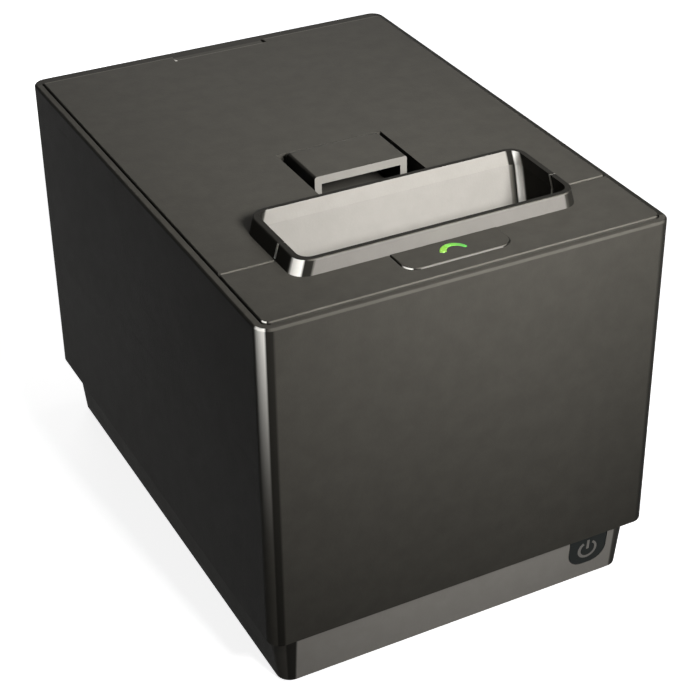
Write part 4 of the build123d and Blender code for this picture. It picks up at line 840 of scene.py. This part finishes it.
def build_screw_head(tree, radius, height):
    """A pan head standing on its seat, with a cross recess."""
    x, y, z = split(tree, tree.nodes.new("GeometryNodeInputPosition").outputs[0])
    head = add_node(
        tree,
        "GeometryNodeMeshCylinder",
        Vertices=24,
        Side_Segments=3,
        Fill_Segments=4,
        Radius=radius,
        Depth=height,
    )
    share = maths(tree, "ADD", maths(tree, "DIVIDE", z, height), 0.5, clamp=True)
    from_axis = maths(tree, "SQRT", plus(tree, times(tree, x, x), times(tree, y, y)))
    reach = maths(tree, "DIVIDE", from_axis, radius)
    rounding = times(tree, maths(tree, "POWER", reach, 3.0), times(tree, share, -0.42))
    narrow = times(tree, maths(tree, "POWER", share, 2.0), -0.10)
    lift = times(tree, height, plus(tree, rounding, 0.5))
    shift = joined(tree, times(tree, x, narrow), times(tree, y, narrow), lift)
    dome = add_node(tree, "GeometryNodeSetPosition", Geometry=head.outputs["Mesh"], Offset=shift)

    cutter = tree.nodes.new("GeometryNodeJoinGeometry")
    long, slim, deep = times(tree, radius, 1.16), times(tree, radius, 0.26), times(tree, height, 1.2)
    for x_size, y_size in ((long, slim), (slim, long)):
        wing = add_node(tree, "GeometryNodeMeshCube", Size=joined(tree, x_size, y_size, deep))
        lifted = add_node(
            tree,
            "GeometryNodeTransform",
            Geometry=wing.outputs["Mesh"],
            Translation=joined(tree, 0.0, 0.0, height),
        )
        connect(tree, lifted.outputs[0], cutter.inputs[0])
    recess = add_node(
        tree,
        "GeometryNodeMeshBoolean",
        operation="DIFFERENCE",
        solver="EXACT",
        Self_Intersection=True,
        Mesh_1=dome.outputs[0],
        Mesh_2=cutter.outputs[0],
    )
    return recess.outputs["Mesh"]


def build_screw_shank(tree, radius, length, pitch):
    """A threaded shank hanging from the seat: rings of full radius with narrower ones between."""
    x, y, z = split(tree, tree.nodes.new("GeometryNodeInputPosition").outputs[0])
    rings = times(tree, maths(tree, "ROUND", maths(tree, "DIVIDE", length, pitch)), 2.0)
    shank = add_node(
        tree, "GeometryNodeMeshCylinder", Vertices=12, Side_Segments=rings, Radius=radius, Depth=length
    )
    along = plus(tree, maths(tree, "DIVIDE", z, length), 0.5)
    turns = times(tree, times(tree, along, rings), 0.5)
    part_turn = maths(tree, "FRACT", plus(tree, turns, 0.01))
    groove = times(tree, maths(tree, "GREATER_THAN", part_turn, 0.4), -0.16)
    shift = joined(tree, times(tree, x, groove), times(tree, y, groove), times(tree, length, -0.5))
    thread = add_node(tree, "GeometryNodeSetPosition", Geometry=shank.outputs["Mesh"], Offset=shift)
    return thread.outputs[0]


def build_screw_tree():
    """Pan-head screws with a cross recess, one at each point, turned by hand to odd angles.

    A screw stands along Z with its seat at the point and its head above; Flip turns it over.
    """
    tree, given, made = new_shape_tree(
        "pan head screws",
        shape_inputs(
            head_radius=0.0028,
            head_height=0.0018,
            shank_radius=0.0015,
            shank_length=0.0060,
            thread_pitch=0.0007,
            flip=0.0,
            seed=4,
        ),
    )
    size = given.outputs
    whole = tree.nodes.new("GeometryNodeJoinGeometry")
    shank = build_screw_shank(tree, size["Shank Radius"], size["Shank Length"], size["Thread Pitch"])
    connect(tree, shank, whole.inputs[0])
    connect(tree, build_screw_head(tree, size["Head Radius"], size["Head Height"]), whole.inputs[0])
    angle = add_node(tree, "FunctionNodeRandomValue", data_type="FLOAT", Seed=size["Seed"])
    widest = [socket for socket in angle.inputs if socket.name == "Max" and socket.type == "VALUE"][0]
    widest.default_value = math.pi / 2
    drawn = [socket for socket in angle.outputs if socket.type == "VALUE" and socket.enabled][0]
    spread = add_node(
        tree,
        "GeometryNodeInstanceOnPoints",
        Points=size["Geometry"],
        Instance=whole.outputs[0],
        Rotation=joined(tree, times(tree, size["Flip"], math.pi), 0.0, drawn),
    )
    finish_tree(tree, given, made, spread.outputs[0])
    return tree


def build_contact_tree():
    """Spring contacts of a socket: a row of slim wires, each bent up at its free end."""
    tree, given, made = new_shape_tree(
        "socket contacts",
        shape_inputs(
            contact_count=8, contact_pitch=0.00102, wire_width=0.00045, wire_length=0.0070, wire_rise=0.0020
        ),
    )
    size = given.outputs
    count, pitch, length = size["Contact Count"], size["Contact Pitch"], size["Wire Length"]
    path = add_node(tree, "GeometryNodeCurvePrimitiveLine", End=joined(tree, 0.0, length, 0.0))
    even = add_node(tree, "GeometryNodeResampleCurve", Count=7, Curve=path.outputs[0])
    y = split(tree, tree.nodes.new("GeometryNodeInputPosition").outputs[0])[1]
    bend = times(tree, maths(tree, "POWER", maths(tree, "DIVIDE", y, length), 2.2), size["Wire Rise"])
    bent = add_node(
        tree, "GeometryNodeSetPosition", Geometry=even.outputs[0], Offset=joined(tree, 0.0, 0.0, bend)
    )
    section = add_node(
        tree, "GeometryNodeCurvePrimitiveCircle", Resolution=8, Radius=times(tree, size["Wire Width"], 0.5)
    )
    wire = add_node(
        tree,
        "GeometryNodeCurveToMesh",
        Curve=bent.outputs[0],
        Profile_Curve=section.outputs[0],
        Fill_Caps=True,
    )
    first_x = times(tree, times(tree, maths(tree, "SUBTRACT", count, 1.0), -0.5), pitch)
    row = add_node(
        tree,
        "GeometryNodeMeshLine",
        Count=count,
        Start_Location=joined(tree, first_x, 0.0, 0.0),
        Offset=joined(tree, pitch, 0.0, 0.0),
    )
    wires = add_node(
        tree, "GeometryNodeInstanceOnPoints", Points=row.outputs[0], Instance=wire.outputs[0]
    )
    spread = add_node(
        tree, "GeometryNodeInstanceOnPoints", Points=size["Geometry"], Instance=wires.outputs[0]
    )
    finish_tree(tree, given, made, spread.outputs[0])
    return tree


def grow_piece(name, tree, points, body, slot_name, **inputs):
    """Run a tree over points, keep its result as a plain mesh and let it ride on a body."""
    mesh = bpy.data.meshes.new(name + "_points")
    mesh.from_pydata([tuple(point) for point in points], [], [])
    holder = bpy.data.objects.new(name + "_points", mesh)
    bpy.context.scene.collection.objects.link(holder)
    modifier = holder.modifiers.new(name, "NODES")
    modifier.node_group = tree
    by_label = {item.name: item.identifier for item in tree.interface.items_tree if item.in_out == "INPUT"}
    for label, value in inputs.items():
        modifier[by_label[label.replace("_", " ").title()]] = value
    bpy.context.view_layer.update()
    evaluated = holder.evaluated_get(bpy.context.evaluated_depsgraph_get())
    result = bpy.data.meshes.new_from_object(evaluated)
    result.name = name
    holder.modifiers.clear()
    bpy.data.objects.remove(holder)
    bpy.data.meshes.remove(mesh)
    piece = bpy.data.objects.new(name, result)
    bpy.context.scene.collection.objects.link(piece)
    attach(piece, body)
    return piece


def islands(node):
    """The points of each separate solid of a CAD node, read from a merged copy of its mesh."""
    build = bmesh.new()
    build.from_mesh(node.data)
    bmesh.ops.remove_doubles(build, verts=build.verts, dist=1e-6)
    left = set(build.verts)
    found = []
    while left:
        heap, members = [left.pop()], []
        while heap:
            vert = heap.pop()
            members.append(node.matrix_world @ vert.co)
            near = {edge.other_vert(vert) for edge in vert.link_edges} & left
            left -= near
            heap += near
        found.append(members)
    build.free()
    return found


def read_screws(name):
    """A CAD node's screws, in a fixed order: their seats, then the sizes of one and its way up."""
    rows = []
    for members in islands(frame["nodes"][name]):
        xs, ys, zs = zip(*members)
        middle_x, middle_y = (min(xs) + max(xs)) / 2, (min(ys) + max(ys)) / 2
        wide = (max(xs) - min(xs)) / 2
        reaches = [(math.hypot(x - middle_x, y - middle_y), z) for x, y, z in members]
        head = [z for reach, z in reaches if reach > wide * 0.95]
        slim = max(reach for reach, z in reaches if reach < wide * 0.8)
        head_up = max(head) > max(zs) - 1e-5
        seat = min(head) if head_up else max(head)
        length = seat - min(zs) if head_up else max(zs) - seat
        rows.append(((middle_x, middle_y, seat), wide, max(head) - min(head), slim, length, head_up))
    rows.sort()
    return [row[0] for row in rows], *rows[0][1:]


SCREW_NODES = (
    "base_screws",
    "board_screws",
    "chassis_screws",
    "frame_screws",
    "holder_screws",
    "key_screws",
)


def build_screws():
    """The printer's screws, in place of the plain ones of the solids."""
    tree = build_screw_tree()
    bodies = frame["record"]["behaviour"]["bodies"]
    rides = {node: body for body, nodes in bodies.items() for node in nodes}
    for name in SCREW_NODES:
        seats, wide, tall, slim, length, head_up = read_screws(name)
        piece = grow_piece(
            "pan_head_" + name,
            tree,
            seats,
            rides[name],
            "screw_steel",
            head_radius=wide,
            head_height=tall,
            shank_radius=slim,
            shank_length=length,
            flip=0.0 if head_up else 1.0,
            material=FINISHES["screw_steel"],
        )
        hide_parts(name)


SOCKET_DEPTH = 0.010
SOCKET_CONTACTS = (  # node, contacts, height of the socket's roof above its foot, rise of the wires
    ("network_port", 8, 0.0122, 0.0034),
    ("drawer_port", 6, 0.0114, 0.0030),
)


def build_contacts():
    """Wire contacts inside the rear sockets, from the socket's back wall up to the roof of its mouth."""
    tree = build_contact_tree()
    rooted = 0.0002
    for name, count, roof, rise in SOCKET_CONTACTS:
        low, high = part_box(name)
        back = high.y - SOCKET_DEPTH - rooted
        start = Vector(((low.x + high.x) / 2, back, low.z + roof - rise - rooted))
        grow_piece(
            name + "_contacts",
            tree,
            [start],
            "printer_body",
            "brass_bush",
            contact_count=count,
            contact_pitch=0.00102,
            wire_width=0.00045,
            wire_length=SOCKET_DEPTH - 0.0012,
            wire_rise=rise,
            material=FINISHES["brass_bush"],
        )


build_power_mark()
build_status_lens()
build_screws()
build_contacts()


# ---------------------------------------------------------------- stage, lamps and camera
def show_direct(tree, direct_look, other_look, output):
    """One look for camera, transmission and glossy rays, the other for the rest of the light."""
    path = tree.nodes.new("ShaderNodeLightPath")
    direct = maths(tree, "MAXIMUM", path.outputs["Is Camera Ray"], path.outputs["Is Transmission Ray"])
    direct = maths(tree, "MAXIMUM", direct, path.outputs["Is Glossy Ray"])
    choose = tree.nodes.new("ShaderNodeMixShader")
    connect(tree, direct, choose.inputs[0])
    connect(tree, other_look.outputs[0], choose.inputs[1])
    connect(tree, direct_look.outputs[0], choose.inputs[2])
    connect(tree, choose.outputs[0], output.inputs["Surface"])


def build_floor():
    """A pale floor that shows white to the eye and to metal, and keeps the printer's shadow."""
    mesh = bpy.data.meshes.new("studio_floor")
    half, sink = 6.0, 0.0002
    mesh.from_pydata(
        [(-half, -half, -sink), (half, -half, -sink), (half, half, -sink), (-half, half, -sink)],
        [],
        [(0, 1, 2, 3)],
    )
    floor = bpy.data.objects.new("studio_floor", mesh)
    bpy.context.scene.collection.objects.link(floor)
    material = bpy.data.materials.new("pale_floor")
    material.use_nodes = True
    tree = material.node_tree
    tree.nodes.clear()
    seen = add_node(tree, "ShaderNodeBsdfDiffuse")
    seen.inputs["Color"].default_value = (0.92, 0.92, 0.92, 1.0)
    bounced = add_node(tree, "ShaderNodeBsdfDiffuse")
    bounced.inputs["Color"].default_value = (0.30, 0.30, 0.30, 1.0)
    lift = add_node(tree, "ShaderNodeEmission", Strength=0.85)
    bright = tree.nodes.new("ShaderNodeAddShader")
    connect(tree, seen.outputs[0], bright.inputs[0])
    connect(tree, lift.outputs[0], bright.inputs[1])
    show_direct(tree, bright, bounced, tree.nodes.new("ShaderNodeOutputMaterial"))
    mesh.materials.append(material)


def build_world():
    """Even soft light all round, and a white background where the floor ends."""
    world = bpy.data.worlds.new("studio")
    bpy.context.scene.world = world
    world.use_nodes = True
    tree = world.node_tree
    tree.nodes.clear()
    ambient = add_node(tree, "ShaderNodeBackground", Strength=0.08)
    ambient.inputs["Color"].default_value = (1.0, 1.0, 1.0, 1.0)
    backdrop = add_node(tree, "ShaderNodeBackground", Strength=1.0)
    backdrop.inputs["Color"].default_value = (1.0, 1.0, 1.0, 1.0)
    show_direct(tree, backdrop, ambient, tree.nodes.new("ShaderNodeOutputWorld"))


def soft_lamp(name, place, target, size, watts, spread=math.pi):
    """A square soft lamp aimed at a point."""
    light = bpy.data.lights.new(name, "AREA")
    light.shape = "RECTANGLE"
    light.size, light.size_y = size
    light.energy = watts
    light.spread = spread
    lamp = bpy.data.objects.new(name, light)
    bpy.context.scene.collection.objects.link(lamp)
    lamp.location = place
    lamp.rotation_mode = "QUATERNION"
    lamp.rotation_quaternion = (Vector(target) - Vector(place)).to_track_quat("-Z", "Y")
    lamp.visible_camera = False


def build_lamps():
    """A narrow lamp in front above the printer, a wide one overhead and a low one behind."""
    exit_front, middle = (0.03, -0.085, 0.19), (0.0, 0.0, 0.1)
    soft_lamp("front_lamp", (0.07, -0.50, 0.46), exit_front, (0.22, 0.16), 0.46, spread=0.62)
    soft_lamp("top_lamp", (0.55, 0.00, 1.30), middle, (0.6, 0.6), 1.4)
    soft_lamp("back_lamp", (0.45, 1.30, 0.35), middle, (0.8, 0.8), 4.0)


def build_camera():
    """The camera: above the front left edge, looking down at the lid."""
    azimuth, elevation = math.radians(-28.30), math.radians(31.82)
    place = Vector((-0.2463, -0.4985, 0.4121))
    camera_data = bpy.data.cameras.new("camera")
    camera_data.sensor_width = 36.0
    camera_data.lens = 92.0057
    camera_data.shift_x, camera_data.shift_y = -0.05, -0.0286
    camera_data.clip_start, camera_data.clip_end = 0.01, 50.0
    camera = bpy.data.objects.new("camera", camera_data)
    bpy.context.scene.collection.objects.link(camera)
    back = Vector(
        (
            math.sin(azimuth) * math.cos(elevation),
            -math.cos(azimuth) * math.cos(elevation),
            math.sin(elevation),
        )
    )
    camera.location = place
    camera.rotation_mode = "QUATERNION"
    camera.rotation_quaternion = (-back).to_track_quat("-Z", "Y")
    bpy.context.scene.camera = camera


build_floor()
build_world()
build_lamps()
build_camera()
bpy.context.scene.view_settings.view_transform = "Standard"
